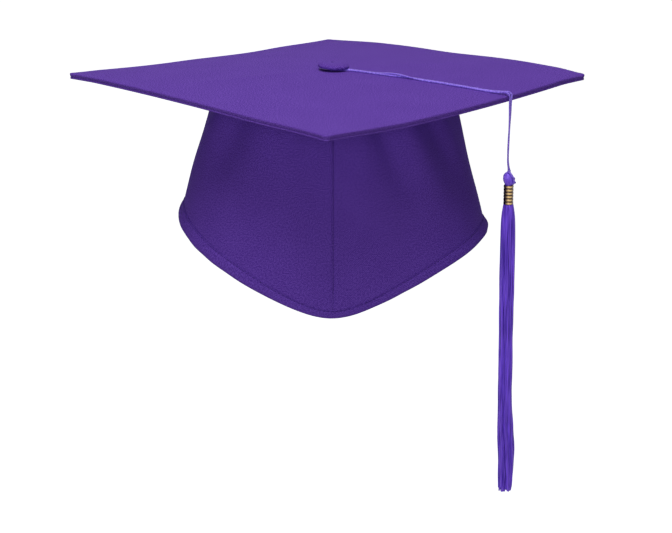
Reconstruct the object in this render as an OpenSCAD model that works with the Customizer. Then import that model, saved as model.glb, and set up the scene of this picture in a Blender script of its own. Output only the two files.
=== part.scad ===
// Graduation cap: a cloth-covered square board on a soft two-panel crown,
// with a covered button and a corded tassel.
// Millimetres, +Z up, front of the cap towards -Y. The origin is the middle of the
// head opening, level with the rim at the wearer's temples, and the button stands
// straight above it.

/* [Board] */
// Side of the covered square board
board_side = 241; // [200:1:290]
// Thickness of the card inside the board
card_t = 2; // [1.2:0.1:3.2]
// How far the board's middle sits to the right of the button
board_off = -4; // [-6:0.5:6]
// How far the front-right and back-left edges hang below the board's middle
fall_across = 8; // [0:0.5:14]
// How far the front-left and back-right edges hang below the board's middle
fall_along = 3; // [0:0.5:14]
// How far the side corners stand above the front and back corners, halved
twist = 3.5; // [0:0.5:6]
// How far all four corners are lifted again by the turned-over cloth
corner_lift = 6; // [0:0.5:12]

/* [Cloth] */
// Thickness of the cap cloth
cloth_t = 0.6; // [0.3:0.1:1]
// Thickness of the stiffening inside the crown
lining_t = 0.5; // [0.3:0.1:1.2]

/* [Crown] */
// Height from the rim at the temples to the top of the board
cap_h = 102; // [85:1:125]
// Width of the crown, side to side, where it is sewn to the board
top_w = 151; // [120:1:180]
// Depth of the crown, front to back, where it is sewn to the board
top_d = 142; // [120:1:180]
// Width of the head opening, side to side, over the panels
rim_w = 204; // [170:1:240]
// Depth from the middle of the head opening to the front peak
rim_front = 90; // [75:1:110]
// Depth from the middle of the head opening to the back of the neck
rim_back = 88; // [75:1:110]
// How far the front peak dips below the rim at the temples
peak_front = 41.5; // [20:0.5:55]
// How far the back peak dips below the rim at the temples
peak_back = 32; // [15:1:50]
// How straight the rim runs to its peaks, where 1 is a plain V
peak_sharp = 1.6; // [1:0.05:2.5]
// How wide the round tip of a peak is, in degrees round the crown
peak_round = 11; // [2:1:20]
// How much lower the rim hangs at the right temple than in the middle
rim_skew = 4.5; // [0:0.5:8]
// How much higher the rim runs at the front right and back left than at the other two quarters
rim_twist = 3.5; // [0:0.5:6]
// How much the walls belly outwards halfway down, as a share of their spread
belly = 0.15; // [0:0.05:0.5]
// Height of the hem
hem_h = 9; // [6:0.5:15]
// Room inside the hem for the elastic
casing_gap = 1.2; // [0.8:0.1:2]
// Width of the tapes over the seams, in degrees round the crown
tape_arc = 8; // [4:1:14]

/* [Elastic] */
// Thickness of the elastic
elastic_t = 0.8; // [0.4:0.1:1.4]
// Height of the elastic
elastic_h = 6; // [4:0.5:10]
// How far the elastic reaches round the back, in degrees
elastic_arc = 96; // [40:2:140]

/* [Button] */
// Diameter of the covered button
button_d = 20.5; // [15:0.5:28]
// Rise of the button's domed top
button_dome = 1.6; // [1:0.1:4]
// Thickness of the button's moulded shell
shell_t = 0.5; // [0.3:0.05:1]
// Thickness of the plate that closes the button's back
back_t = 0.5; // [0.3:0.1:1.5]
// Height of the neck between the board and the button, where the tassel loops
neck_h = 1.8; // [1.6:0.1:4]
// Diameter of the shank through the board
shank_d = 3.2; // [2:0.1:4]
// Diameter of the retaining washer inside the crown
washer_d = 11; // [8:0.5:16]
// Thickness of the retaining washer
washer_t = 0.6; // [0.4:0.1:1.2]

/* [Tassel] */
// Diameter of one strand of the tassel's cord
cord_d = 1.2; // [0.9:0.1:1.3]
// Length of the tassel's skirt below its band
skirt_l = 194; // [120:1:240]
// Diameter of the skirt at its fullest
skirt_d = 11.6; // [8:0.2:16]
// Diameter of the bound neck of the tassel
bound_d = 4.4; // [4:0.1:6]
// Height of the metal band
band_h = 13; // [8:0.5:20]
// Number of ribs round the band
band_ribs = 6; // [3:1:9]
// Wall of the metal band under its ribs
band_t = 0.3; // [0.2:0.05:0.6]

/* [Hidden] */

// gaps left between pieces
glue_gap = 0.1;     // between flat layers that are glued together
sew_gap = 0.2;      // between curved pieces that are sewn together
turn_gap = 0.08;    // round the shank, which turns in its holes
seam_gap = 0.1;     // between the two halves of the crown
fold_gap = 0.05;    // inside the fold of the hem

// mesh steps, the same for all layers so that they nest
board_steps = 16;
round_steps = 28;
down_steps = 10;
tip_rings = 5;
cord_sides = 8;

// heights of the board's layers over its middle
board_t = card_t + 2 * cloth_t + 2 * glue_gap;
card_z = cap_h - board_t / 2;
over_card = card_t / 2 + glue_gap;
half = board_side / 2;
card_half = half - cloth_t - glue_gap;

// how far the panel, lining and hem leaf lie inside the crown's outer surface
lining_off = -(cloth_t + fold_gap);
lining_in = lining_off - lining_t;
leaf_off = lining_in - casing_gap;
tip_z = over_card + cloth_t + sew_gap;

// where the cord hangs, just outside the board's front-right edge
drop_x = 112.8;
drop_y = -55;

// the tassel's parts, from its knot down
knot_drop = 49;     // from the board's edge to the middle of the knot
knot_r = 1.9;
head_r = 3.6;
head_top = 2;       // from the knot's middle to the top of the head
head_drop = 5.3;    // to the head's widest place
band_drop = 8.9;    // to the top of the band
loop_r = 3.4;
rib_r = 0.5;

violet = "#5d3ba6";
deep_violet = "#4c2f8f";
dark_violet = "#38226e";
cord_violet = "#7a55dd";

function mix(a, b, t) = a + (b - a) * t;
function unit(v) = v / norm(v);

// Rise of the board's middle surface at (x, y): it is crowned across both ways,
// twisted, and lifted again towards its corners.
function warp(x, y) =
    let (p = (x - board_off - y) / sqrt(2) / half, q = (x - board_off + y) / sqrt(2) / half)
    -fall_across * p * p - fall_along * q * q + twist * p * q + corner_lift * p * p * q * q;

function board_top(x, y) = cap_h + warp(x, y);

// ---- board ----

// Point of a square grid laid on the board, with half side s, at height z over the card
function grid_point(i, j, s, z) =
    let (a = mix(-s, s, i / board_steps), b = mix(-s, s, j / board_steps),
         x = board_off + (a + b) / sqrt(2), y = (b - a) / sqrt(2))
    [x, y, card_z + warp(x, y) + z];

function grid(s, z) = [for (i = [0:board_steps], j = [0:board_steps]) grid_point(i, j, s, z)];

// The grid's border, once round
function border() =
    let (n = board_steps, row = n + 1)
    concat([for (j = [0:n - 1]) j], [for (i = [0:n - 1]) i * row + n],
           [for (j = [n:-1:1]) n * row + j], [for (i = [n:-1:1]) i * row]);

function grid_faces(first, up) =
    [for (i = [0:board_steps - 1], j = [0:board_steps - 1], k = [0, 1])
        let (a = first + i * (board_steps + 1) + j, b = a + board_steps + 1,
             f = k == 0 ? [a, a + 1, b] : [b, a + 1, b + 1])
        up ? f : [f[2], f[1], f[0]]];

// Faces between two closed rows of points
function band_faces(one, two) =
    [for (k = [0:len(one) - 1], h = [0, 1])
        let (n = (k + 1) % len(one))
        h == 0 ? [one[k], two[k], one[n]] : [one[n], two[k], two[n]]];

// Flat sheet bent to the board's shape, with half side s, from z_low to z_high over the card
module board_layer(s, z_low, z_high) {
    count = (board_steps + 1) * (board_steps + 1);
    edge = border();
    polyhedron(concat(grid(s, z_high), grid(s, z_low)),
               concat(grid_faces(0, true), grid_faces(count, false),
                      band_faces(edge, [for (k = edge) k + count])));
}

module shank_hole(z_low, z_high)
    translate([0, 0, card_z + z_low - 1])
        cylinder(h = z_high - z_low + 2, d = shank_d + 2 * turn_gap, $fn = 48);

module board_card()
    color("tan")
        difference() {
            board_layer(card_half, -card_t / 2, card_t / 2);
            shank_hole(-card_t / 2, card_t / 2);
        }

// Top cloth: laid over the card and turned down round its edges
module board_cover_top() {
    count = (board_steps + 1) * (board_steps + 1);
    edge = border();
    rim = len(edge);
    low = -over_card - cloth_t;
    outer = grid(half, over_card + cloth_t);
    inner = grid(half - cloth_t, over_card);
    outer_low = [for (k = edge) grid(half, low)[k]];
    inner_low = [for (k = edge) grid(half - cloth_t, low)[k]];
    out_row = [for (k = [0:rim - 1]) 2 * count + k];
    in_row = [for (k = [0:rim - 1]) 2 * count + rim + k];
    color(violet)
        difference() {
            polyhedron(concat(outer, inner, outer_low, inner_low),
                       concat(grid_faces(0, true), grid_faces(count, false),
                              band_faces(edge, out_row), band_faces(out_row, in_row),
                              band_faces(in_row, [for (k = edge) k + count])));
            shank_hole(over_card, over_card + cloth_t);
        }
}

module board_cover_underside()
    color(dark_violet)
        difference() {
            board_layer(card_half - glue_gap, -over_card - cloth_t, -over_card);
            shank_hole(-over_card - cloth_t, -over_card);
        }

// ---- crown ----

// Level of the rim at th degrees round from the right temple: two peaks with round tips
function rim_dip(w) =
    let (reach = sqrt(90 * 90 + peak_round * peak_round) - peak_round,
         far = sqrt(w * w + peak_round * peak_round) - peak_round)
    pow(max(0, 1 - far / reach), peak_sharp);

function rim_level(th) =
    -(sin(th) < 0 ? peak_front : peak_back) * rim_dip(acos(min(1, abs(sin(th)))))
    - rim_skew * cos(th) - rim_twist * sin(2 * th);

function spread(v) = v + belly * v * (1 - v);

// Point of the crown's wall th degrees round, v down it from board (0) to rim (1),
// and off outside its outer surface
function wall_point(th, v, off) =
    let (s = spread(v),
         x = (mix(top_w / 2, rim_w / 2, s) + off) * cos(th),
         y = (mix(top_d / 2, sin(th) < 0 ? rim_front : rim_back, s) + off) * sin(th),
         top = card_z + warp(top_w / 2 * cos(th), top_d / 2 * sin(th)) - tip_z)
    [x, y, mix(top, rim_level(th), v)];

// Height of the wall th degrees round, to turn a length down it into a share
function wall_height(th) = wall_point(th, 0, 0)[2] - wall_point(th, 1, 0)[2];

// Sheet of wall from th0 to th1, with outer face at off_out and inner face at off_in. It runs
// from from_top below the wall's top, or for a strip from its height tall, to from_rim above the rim.
module wall_sheet(th0, th1, off_out, off_in, from_top = 0, from_rim = 0, tall = 0,
                  steps = round_steps) {
    row = down_steps + 1;
    function share(th, j) = let (h = wall_height(th), high = tall > 0 ? h - from_rim - tall : from_top)
        mix(high / h, 1 - from_rim / h, j / down_steps);
    function face(off) = [for (i = [0:steps], j = [0:down_steps])
        let (th = mix(th0, th1, i / steps)) wall_point(th, share(th, j), off)];
    count = (steps + 1) * row;
    function cells(first, out) = [for (i = [0:steps - 1], j = [0:down_steps - 1], k = [0, 1])
        let (a = first + i * row + j, b = a + row,
             f = k == 0 ? [a, a + 1, b] : [b, a + 1, b + 1])
        out ? [f[2], f[1], f[0]] : f];
    round_edge = concat([for (i = [0:steps - 1]) i * row], [for (j = [0:down_steps - 1]) steps * row + j],
                        [for (i = [steps:-1:1]) i * row + down_steps], [for (j = [down_steps:-1:1]) j]);
    polyhedron(concat(face(off_out), face(off_in)),
               concat(cells(0, true), cells(count, false),
                      band_faces(round_edge, [for (k = round_edge) k + count])));
}

// Half of the crown's round that a side covers, less the seam's gap
seam_deg = seam_gap / top_w * 57.3;
left_from = 90 + seam_deg;
left_to = 270 - seam_deg;
right_from = -90 + seam_deg;
right_to = 90 - seam_deg;

module crown_panel_left() color(deep_violet) wall_sheet(left_from, left_to, 0, -cloth_t);

module crown_panel_right() color(deep_violet) wall_sheet(right_from, right_to, 0, -cloth_t);

module crown_lining_left() color(dark_violet) wall_sheet(left_from, left_to, lining_off, lining_in);

module crown_lining_right() color(dark_violet) wall_sheet(right_from, right_to, lining_off, lining_in);

// Tape inside, over a seam, from just under the crown's tip to just above the hem
module seam_tape(middle)
    color(deep_violet)
        wall_sheet(middle - tape_arc / 2, middle + tape_arc / 2, lining_in - sew_gap,
                   lining_in - sew_gap - cloth_t, from_top = 3, from_rim = hem_h + 1, steps = 2);

// Folded hem round the rim: an outer leaf, a fold under the panel and an inner leaf
module hem_band(th0, th1) {
    function ring(th) = let (h = wall_height(th), top = 1 - hem_h / h,
                             fold = 1 + fold_gap / h, low = 1 + (fold_gap + cloth_t) / h)
        [wall_point(th, top, fold_gap + cloth_t), wall_point(th, low, fold_gap + cloth_t),
         wall_point(th, low, leaf_off - cloth_t), wall_point(th, top, leaf_off - cloth_t),
         wall_point(th, top, leaf_off), wall_point(th, fold, leaf_off),
         wall_point(th, fold, fold_gap), wall_point(th, top, fold_gap)];
    sides = 8;
    last = round_steps * sides;
    end = [[0, 1, 7], [7, 1, 6], [1, 2, 6], [6, 2, 5], [2, 3, 5], [5, 3, 4]];
    color(deep_violet)
        polyhedron([for (i = [0:round_steps]) each ring(mix(th0, th1, i / round_steps))],
                   concat([for (i = [0:round_steps - 1])
                               each band_faces([for (k = [0:sides - 1]) (i + 1) * sides + k],
                                               [for (k = [0:sides - 1]) i * sides + k])],
                          [for (f = end) [f[2], f[1], f[0]]],
                          [for (f = end) [f[0] + last, f[1] + last, f[2] + last]]));
}

// Elastic in the casing at the back of the neck
module elastic_band() {
    rest = (casing_gap - elastic_t) / 2;
    color("ghostwhite")
        wall_sheet(90 - elastic_arc / 2, 90 + elastic_arc / 2, lining_in - rest,
                   lining_in - rest - elastic_t, from_rim = (hem_h - elastic_h) / 2,
                   tall = elastic_h, steps = 20);
}

// Oval of stiffened cloth that closes the crown under the board
module crown_tip() {
    steps = 2 * round_steps;
    function ring_point(i, k, z) = let (th = 360 * i / steps, r = k / tip_rings,
                                        x = (top_w / 2 + lining_in - sew_gap) * r * cos(th),
                                        y = (top_d / 2 + lining_in - sew_gap) * r * sin(th))
        [x, y, card_z + warp(x, y) + z];
    function sheet(z) = concat([[0, 0, card_z + warp(0, 0) + z]],
                               [for (k = [1:tip_rings], i = [0:steps - 1]) ring_point(i, k, z)]);
    function fan(first, up) = concat(
        [for (i = [0:steps - 1]) let (f = [0, 1 + i, 1 + (i + 1) % steps] + [first, first, first])
            up ? f : [f[2], f[1], f[0]]],
        [for (k = [0:tip_rings - 2], i = [0:steps - 1], h = [0, 1])
            let (a = first + 1 + k * steps + i, b = first + 1 + k * steps + (i + 1) % steps,
                 f = h == 0 ? [a, a + steps, b] : [b, a + steps, b + steps])
            up ? f : [f[2], f[1], f[0]]]);
    count = 1 + tip_rings * steps;
    outer = [for (i = [0:steps - 1]) 1 + (tip_rings - 1) * steps + i];
    color(dark_violet)
        difference() {
            polyhedron(concat(sheet(-tip_z), sheet(-tip_z - cloth_t)),
                       concat([for (f = fan(0, true)) [f[2], f[1], f[0]]],
                              [for (f = fan(count, false)) [f[2], f[1], f[0]]],
                              band_faces(outer, [for (k = outer) k + count])));
            shank_hole(-tip_z - cloth_t, -tip_z);
        }
}

// ---- button ----

neck_top = cap_h + neck_h;
cover_r = button_d / 2;
shell_r = cover_r - cloth_t;
back_r = shell_r - shell_t - fold_gap;
hollow_side = back_t + fold_gap;             // straight side of the hollow inside the shell
shell_side = hollow_side + shell_t / 2;
cover_side = shell_side + fold_gap + cloth_t / 2;
shank_head_t = 0.6;
shank_head_r = shank_d;
shank_low = card_z - tip_z - cloth_t - sew_gap - washer_t - fold_gap;
shank_foot_t = 0.5;
shank_foot_r = shank_d / 2 + 0.6;

// Button profile: straight side, then a dome of radius r and rise up to z
module domed(r, z, side, dome)
    translate([0, 0, z]) {
        ball = (r * r + dome * dome) / (2 * dome);
        cylinder(h = side, r = r, $fn = 96);
        translate([0, 0, side])
            intersection() {
                cylinder(h = dome + 1, r = r, $fn = 96);
                translate([0, 0, dome - ball]) sphere(r = ball, $fn = 128);
            }
    }

module button_cover()
    color(violet)
        difference() {
            domed(cover_r, neck_top, cover_side, button_dome);
            domed(shell_r + fold_gap, neck_top - 1, shell_side + fold_gap + 1, button_dome);
        }

module button_shell()
    color("silver")
        difference() {
            domed(shell_r, neck_top, shell_side, button_dome);
            domed(shell_r - shell_t, neck_top - 1, hollow_side + 1, button_dome);
        }

module button_back()
    color("gainsboro")
        translate([0, 0, neck_top])
            difference() {
                cylinder(h = back_t, r = back_r, $fn = 96);
                translate([0, 0, -1]) cylinder(h = back_t + 2, d = shank_d + 2 * fold_gap, $fn = 48);
            }

// Shank with a head inside the button and a foot below the washer
module button_shank()
    color("gainsboro")
        translate([0, 0, shank_low]) {
            cylinder(h = neck_top + back_t + fold_gap - shank_low, d = shank_d, $fn = 48);
            translate([0, 0, neck_top + back_t + fold_gap - shank_low])
                cylinder(h = shank_head_t, r = shank_head_r, $fn = 48);
            translate([0, 0, -shank_foot_t])
                cylinder(h = shank_foot_t, r = shank_foot_r, $fn = 48);
        }

module button_washer()
    color("gainsboro")
        translate([0, 0, shank_low + fold_gap])
            difference() {
                cylinder(h = washer_t, d = washer_d, $fn = 64);
                translate([0, 0, -1]) cylinder(h = washer_t + 2, d = shank_d + fold_gap, $fn = 48);
            }

// ---- cord ----

// The loop's two strands over the board, as [x, y, height of its middle over the board].
// Strand a lies on the left as it leaves the button and crosses over strand b.
strand_a = [[1.3, 2.2, 1], [6.2, 0.6, 1], [12, -2.6, 1], [18.8, -6.8, 1], [26, -11.2, 1],
            [32.6, -15.1, 1.5], [36.1, -17.1, 2], [38.6, -18.8, 2.3], [41.2, -20.3, 2.4],
            [43.7, -21.7, 2.3], [46.4, -23.2, 2], [49.9, -25, 1.5], [57.2, -28.8, 1],
            [68, -34.1, 1], [78.7, -39.3, 1], [89.4, -44.5, 1], [98.2, -48.8, 1], [104.3, -51.9, 1.3],
            [107.9, -53.8, 1.8], [109.9, -55, 2.1], [111.2, -55.8, 1.6], [112.1, -56.2, 0.6],
            [112.3, -55.7, -1], [112.3, -55.5, -2.2]];
strand_b = [[-1.1, -2.3, 1], [4, -3.4, 1], [11.2, -4.6, 1], [18.2, -8.4, 1], [25.2, -12.6, 1],
            [32, -16.4, 1], [35.6, -18.1, 1], [38.3, -19.2, 1], [41.2, -20.3, 1], [44.2, -21.3, 1],
            [46.9, -22.5, 1], [50.6, -23.9, 1], [57.8, -27.4, 1], [68.6, -32.7, 1], [79.3, -38, 1],
            [90, -43.1, 1], [98.9, -47.2, 1], [105.2, -50.2, 1.4], [109.2, -52.2, 1.8],
            [111.5, -53.3, 2.1], [112.8, -53.9, 1.6], [113.7, -54.2, 0.6], [113.6, -54.4, -1],
            [113.3, -54.5, -2.2]];
neck_bend_r = shank_d / 2 + 0.3 + cord_d / 2;
neck_bend = [for (a = [80:32:214]) [neck_bend_r * cos(a), neck_bend_r * sin(a), 1]];

// The hanging stretch of each strand, as [x, y, height over the board's edge]. It starts with a
// round tip, about which it swings.
drop_a = [[112.3, -55.5, -2.65], [112.3, -55.5, -2.87], [112.3, -55.5, -3.2], [112.3, -55.5, -7],
          [112.4, -55.6, -13], [112.4, -55.6, -20], [112.2, -55.7, -28], [112, -55.7, -35],
          [111.9, -55.6, -42], [112.3, -55.6, -46.6]];
drop_b = [[113.3, -54.5, -2.65], [113.3, -54.5, -2.87], [113.3, -54.5, -3.2], [113.2, -54.4, -7],
          [113, -54.3, -13], [112.6, -54.2, -20], [112.2, -54.3, -28], [112, -54.3, -35],
          [112.1, -54.2, -42], [112.7, -54.3, -46.6]];
tip_rounding = [0.5, 0.86];

function on_board(p) = [p[0], p[1], board_top(p[0], p[1]) + p[2]];
function from_edge(p) = [p[0], p[1], board_top(drop_x, drop_y) + p[2]];
function reversed(list) = [for (i = [len(list) - 1:-1:0]) list[i]];

// Direction of a route at its i-th point
function heading(route, i) =
    unit(route[min(i + 1, len(route) - 1)] - route[max(i - 1, 0)]);

// The part of s square to the direction t
function square_to(s, t) = unit(s - (s * t) * t);

// Side vectors carried along a route without turning about it
function carried(route, start) =
    [for (i = 0, s = square_to(start, heading(route, 0)); i < len(route);
          i = i + 1, s = square_to(s, heading(route, min(i, len(route) - 1))))
        s];

// Round tube of diameter d along a route; its first rings may be smaller, as the shares in tip
module tube(route, d, start, tip = []) {
    sides_of = carried(route, start);
    points = [for (i = [0:len(route) - 1], k = [0:cord_sides - 1])
        let (t = heading(route, i), s = sides_of[i], u = cross(t, s), a = 360 * k / cord_sides,
             r = d / 2 * (i < len(tip) ? tip[i] : 1))
        route[i] + r * (cos(a) * s + sin(a) * u)];
    last = (len(route) - 1) * cord_sides;
    polyhedron(points,
               concat([for (i = [0:len(route) - 2])
                           each band_faces([for (k = [0:cord_sides - 1]) (i + 1) * cord_sides + k],
                                           [for (k = [0:cord_sides - 1]) i * cord_sides + k])],
                      [[for (k = [cord_sides - 1:-1:0]) k]],
                      [[for (k = [0:cord_sides - 1]) last + k]]));
}

// From the board's edge to the neck, round it and back: one doubled cord
module lead_cord()
    color(cord_violet)
        tube([for (p = concat(reversed(strand_a), neck_bend, strand_b)) on_board(p)], cord_d, [0, 1, 0]);

module drop_cord()
    color(cord_violet) {
        tube([for (p = drop_a) from_edge(p)], cord_d, [1, 0, 0], tip_rounding);
        tube([for (p = drop_b) from_edge(p)], cord_d, [1, 0, 0], tip_rounding);
    }

// ---- tassel ----

knot_z = board_top(drop_x, drop_y) - knot_drop;
head_z = knot_z - head_drop;
head_top_z = knot_z - head_top;
band_top_z = knot_z - band_drop;
band_z = band_top_z - band_h;
skirt_z = band_z - skirt_l;

module at_tassel(z) translate([drop_x, drop_y, z]) children();

module tassel_knot() color(cord_violet) at_tassel(knot_z) sphere(r = knot_r, $fn = 48);

// Ring of cord in a plane that stands along the board's edge, round the folded threads
module loop_ring(d)
    at_tassel(head_z) rotate([0, 0, 45]) rotate([90, 0, 0])
        rotate_extrude($fn = 64) translate([loop_r, 0]) circle(d = d, $fn = 24);

// Threads folded over the loop, tapering into the band
module tassel_head()
    color(cord_violet)
        difference() {
            at_tassel(0) rotate_extrude($fn = 64)
                polygon([[0, band_top_z], [bound_d / 2, band_top_z], [head_r - 0.3, band_top_z + 1.2],
                         [head_r, head_z], [head_r - 0.5, head_z + 1.8], [head_r - 1.6, head_top_z],
                         [0, head_top_z]]);
            loop_ring(cord_d + fold_gap);
        }

module tassel_head_loop()
    color(cord_violet)
        difference() {
            loop_ring(cord_d);
            at_tassel(band_top_z - 9.9) cube([20, 20, 20], center = true);
            at_tassel(knot_z) sphere(r = knot_r + fold_gap, $fn = 48);
        }

module tassel_binding()
    color("indigo")
        at_tassel(band_z)
            difference() {
                cylinder(h = band_h, r = bound_d / 2 + 0.2, $fn = 64);
                translate([0, 0, -1]) cylinder(h = band_h + 2, r = bound_d / 2, $fn = 64);
            }

// Ribbed metal band over the binding
module tassel_band() {
    bore = bound_d / 2 + 0.2 + fold_gap;
    pitch = band_h / band_ribs;
    color("goldenrod")
        at_tassel(band_z) {
            difference() {
                union() {
                    cylinder(h = band_h, r = bore + band_t, $fn = 64);
                    for (i = [0:band_ribs - 1])
                        translate([0, 0, (i + 0.5) * pitch])
                            rotate_extrude($fn = 64) translate([bore + band_t, 0])
                                circle(r = rib_r, $fn = 24);
                }
                translate([0, 0, -1]) cylinder(h = band_h + 2, r = bore, $fn = 64);
            }
        }
}

// Hanging threads, with the bound neck that runs up through the band
module tassel_skirt() {
    full = skirt_d / 2;
    neck_r = bound_d / 2 - fold_gap;
    color(cord_violet)
        at_tassel(0) rotate_extrude($fn = 64)
            polygon([[0, skirt_z], [0.55 * full, skirt_z], [0.92 * full, skirt_z + 8], [full, skirt_z + 20],
                     [0.88 * full, skirt_z + 0.35 * skirt_l], [0.8 * full, skirt_z + 0.9 * skirt_l],
                     [0.72 * full, band_z - 5], [bound_d / 2 + 0.4, band_z - fold_gap],
                     [neck_r, band_z - fold_gap], [neck_r, band_top_z - fold_gap],
                     [0, band_top_z - fold_gap]]);
}

board_card();
board_cover_top();
board_cover_underside();
crown_tip();
crown_panel_left();
crown_panel_right();
crown_lining_left();
crown_lining_right();
seam_tape(-90);  // front_seam_tape
seam_tape(90);  // back_seam_tape
hem_band(left_from, left_to);  // hem_band_left
hem_band(right_from, right_to);  // hem_band_right
elastic_band();
button_cover();
button_shell();
button_back();
button_shank();
button_washer();
lead_cord();
drop_cord();
tassel_knot();
tassel_head();
tassel_head_loop();
tassel_binding();
tassel_band();
tassel_skirt();
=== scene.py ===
# %% [markdown]
# # A graduation cap in cloth, cord and brass
# The cap is a square board wrapped in twill, a soft crown sewn under it, a covered button and a
# tassel that hangs on a doubled cord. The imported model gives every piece's size, place and body.
# This lesson gives each one the shape and finish that a rigid model can't hold. Lengths are in
# millimetres until a mesh is made, because that is how a hatter would measure them.

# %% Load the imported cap
import math

import bmesh
import bpy
import numpy as np
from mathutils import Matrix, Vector


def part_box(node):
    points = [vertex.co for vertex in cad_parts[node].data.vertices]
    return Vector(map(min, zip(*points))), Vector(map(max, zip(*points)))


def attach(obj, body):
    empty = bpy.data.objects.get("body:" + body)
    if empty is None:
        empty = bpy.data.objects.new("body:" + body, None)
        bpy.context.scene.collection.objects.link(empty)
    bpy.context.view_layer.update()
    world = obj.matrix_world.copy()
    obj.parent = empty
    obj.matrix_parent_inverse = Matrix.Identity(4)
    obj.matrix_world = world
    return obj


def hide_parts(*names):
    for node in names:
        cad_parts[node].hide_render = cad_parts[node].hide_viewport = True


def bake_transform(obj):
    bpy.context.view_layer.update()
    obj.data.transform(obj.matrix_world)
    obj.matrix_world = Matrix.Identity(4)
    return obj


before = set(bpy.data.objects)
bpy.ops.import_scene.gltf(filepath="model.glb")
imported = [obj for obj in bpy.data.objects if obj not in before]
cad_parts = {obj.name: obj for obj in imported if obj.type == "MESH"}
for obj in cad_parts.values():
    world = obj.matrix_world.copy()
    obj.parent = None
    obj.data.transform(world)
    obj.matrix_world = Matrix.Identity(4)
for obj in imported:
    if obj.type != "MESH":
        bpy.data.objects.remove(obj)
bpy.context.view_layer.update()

MM = 0.001
scene = bpy.context.scene
scene.view_settings.view_transform = "Standard"

# %% [markdown]
# ## Camera
# A long lens from a little above the board, a metre and a half away, as for a catalogue. Its place
# is written in the cap's own frame, so it doesn't depend on any piece.

# %% Camera in front of the cap, looking slightly down
CAMERA_AT = (1.8, -1473.4, 383)     # mm, to the right, back and up from the head opening
CAMERA_DIP = 15.75                  # degrees below level
LENS = 121.6                        # mm, on a 36 mm sensor

lens = bpy.data.cameras.new("camera")
lens.lens = LENS
lens.sensor_width = 36
lens.clip_end = 50
camera = bpy.data.objects.new("camera", lens)
camera.location = Vector(CAMERA_AT) * MM
camera.rotation_euler = (math.radians(90 - CAMERA_DIP), 0, 0)
scene.collection.objects.link(camera)
scene.camera = camera

# %% [markdown]
# ## The cap's own geometry
# The board isn't flat: cloth pulled tight over card bows it both ways, and its four corners lift
# again. The crown is a wall that runs from an oval under the board to a wider oval rim, which dips
# to a point at the front and at the back. Both are written as functions, so that cloth, lining,
# hem, stitches and cord can all be laid on the same surfaces.

# %% Driving sizes, in millimetres
BOARD_SIDE = 241
BOARD_OFF = -4          # the board's middle sits this far to the right of the button
BOARD_T = 3.4           # card and its two cloths
FALL_ACROSS, FALL_ALONG, TWIST, CORNER_LIFT = 8, 3, 3.5, 6
CAP_H = 102
CLOTH_T, LINING_T = 0.6, 0.5
TOP_W, TOP_D = 151, 142
RIM_W, RIM_FRONT, RIM_BACK = 204, 90, 88
PEAK_FRONT, PEAK_BACK, PEAK_SHARP, PEAK_ROUND = 41.5, 32, 1.6, 11
RIM_SKEW, RIM_TWIST, BELLY = 4.5, 3.5, 0.15
ROOT2 = math.sqrt(2)
HALF = BOARD_SIDE / 2


def smooth(t):
    """0 below 0, 1 above 1, and a soft step between."""
    t = np.clip(t, 0, 1)
    return t * t * (3 - 2 * t)


def mix(a, b, t):
    return a + (b - a) * t


def hump(t):
    """A soft hump of height 1 round t = 0, gone by about 2."""
    return np.exp(-t * t)


# %% Surface of the board
def warp(x, y):
    """How far the board's surface at (x, y) lies above its middle."""
    p = (x - BOARD_OFF - y) / ROOT2 / HALF
    q = (x - BOARD_OFF + y) / ROOT2 / HALF
    return -FALL_ACROSS * p * p - FALL_ALONG * q * q + TWIST * p * q + CORNER_LIFT * p * p * q * q


def settled(x, y):
    """The small set that a real board takes: tips that droop, edges that wave, one long crease."""
    p = (x - BOARD_OFF - y) / ROOT2 / HALF
    q = (x - BOARD_OFF + y) / ROOT2 / HALF
    right, left = x - BOARD_OFF - 152, -(x - BOARD_OFF) - 150
    droop = -1.3 * smooth(right / 20) - 0.5 * smooth(left / 20)
    back_right = (-0.75 * hump(p / 0.22) + 0.5 * hump((p - 0.55) / 0.25)) * smooth((q - 0.5) / 0.5)
    back_left = (-0.4 * hump((q - 0.35) / 0.2) + 0.35 * hump((q + 0.1) / 0.2)) * smooth((-p - 0.5) / 0.5)
    tips = 1.7 * smooth((-y - 118) / 50) - 1.1 * smooth((y - 130) / 40)
    crease = 0.3 * np.exp(-abs(y - 0.42 * x) / 5) * smooth((120 - abs(x)) / 50) * smooth((abs(x) - 8) / 10)
    return droop + back_right + back_left + crease + tips


# %% Surface of the crown
def rim_level(th):
    """Height of the rim th degrees round from the right temple."""
    w = np.degrees(np.arccos(np.clip(abs(np.sin(np.radians(th))), 0, 1)))
    reach = math.hypot(90, PEAK_ROUND) - PEAK_ROUND
    far = np.hypot(w, PEAK_ROUND) - PEAK_ROUND
    dip = np.clip(1 - far / reach, 0, 1) ** PEAK_SHARP
    peak = np.where(np.sin(np.radians(th)) < 0, PEAK_FRONT, PEAK_BACK)
    return -peak * dip - RIM_SKEW * np.cos(np.radians(th)) - RIM_TWIST * np.sin(np.radians(2 * th))


def wall(th, v, off=0):
    """Points of the wall th degrees round, v down it, off outside its smooth outer surface."""
    th, v, off = np.broadcast_arrays(np.asarray(th, float), v, off)
    c, s = np.cos(np.radians(th)), np.sin(np.radians(th))
    spread = v + BELLY * v * (1 - v)
    x = (mix(TOP_W / 2, RIM_W / 2, spread) + off) * c
    y = (mix(TOP_D / 2, np.where(s < 0, RIM_FRONT, RIM_BACK), spread) + off) * s
    top = CAP_H - BOARD_T - 0.1 + warp(TOP_W / 2 * c, TOP_D / 2 * s)
    return np.stack([x, y, mix(top, rim_level(th), v)], -1)


def wall_height(th):
    return wall(th, 0)[..., 2] - wall(th, 1)[..., 2]


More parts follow.
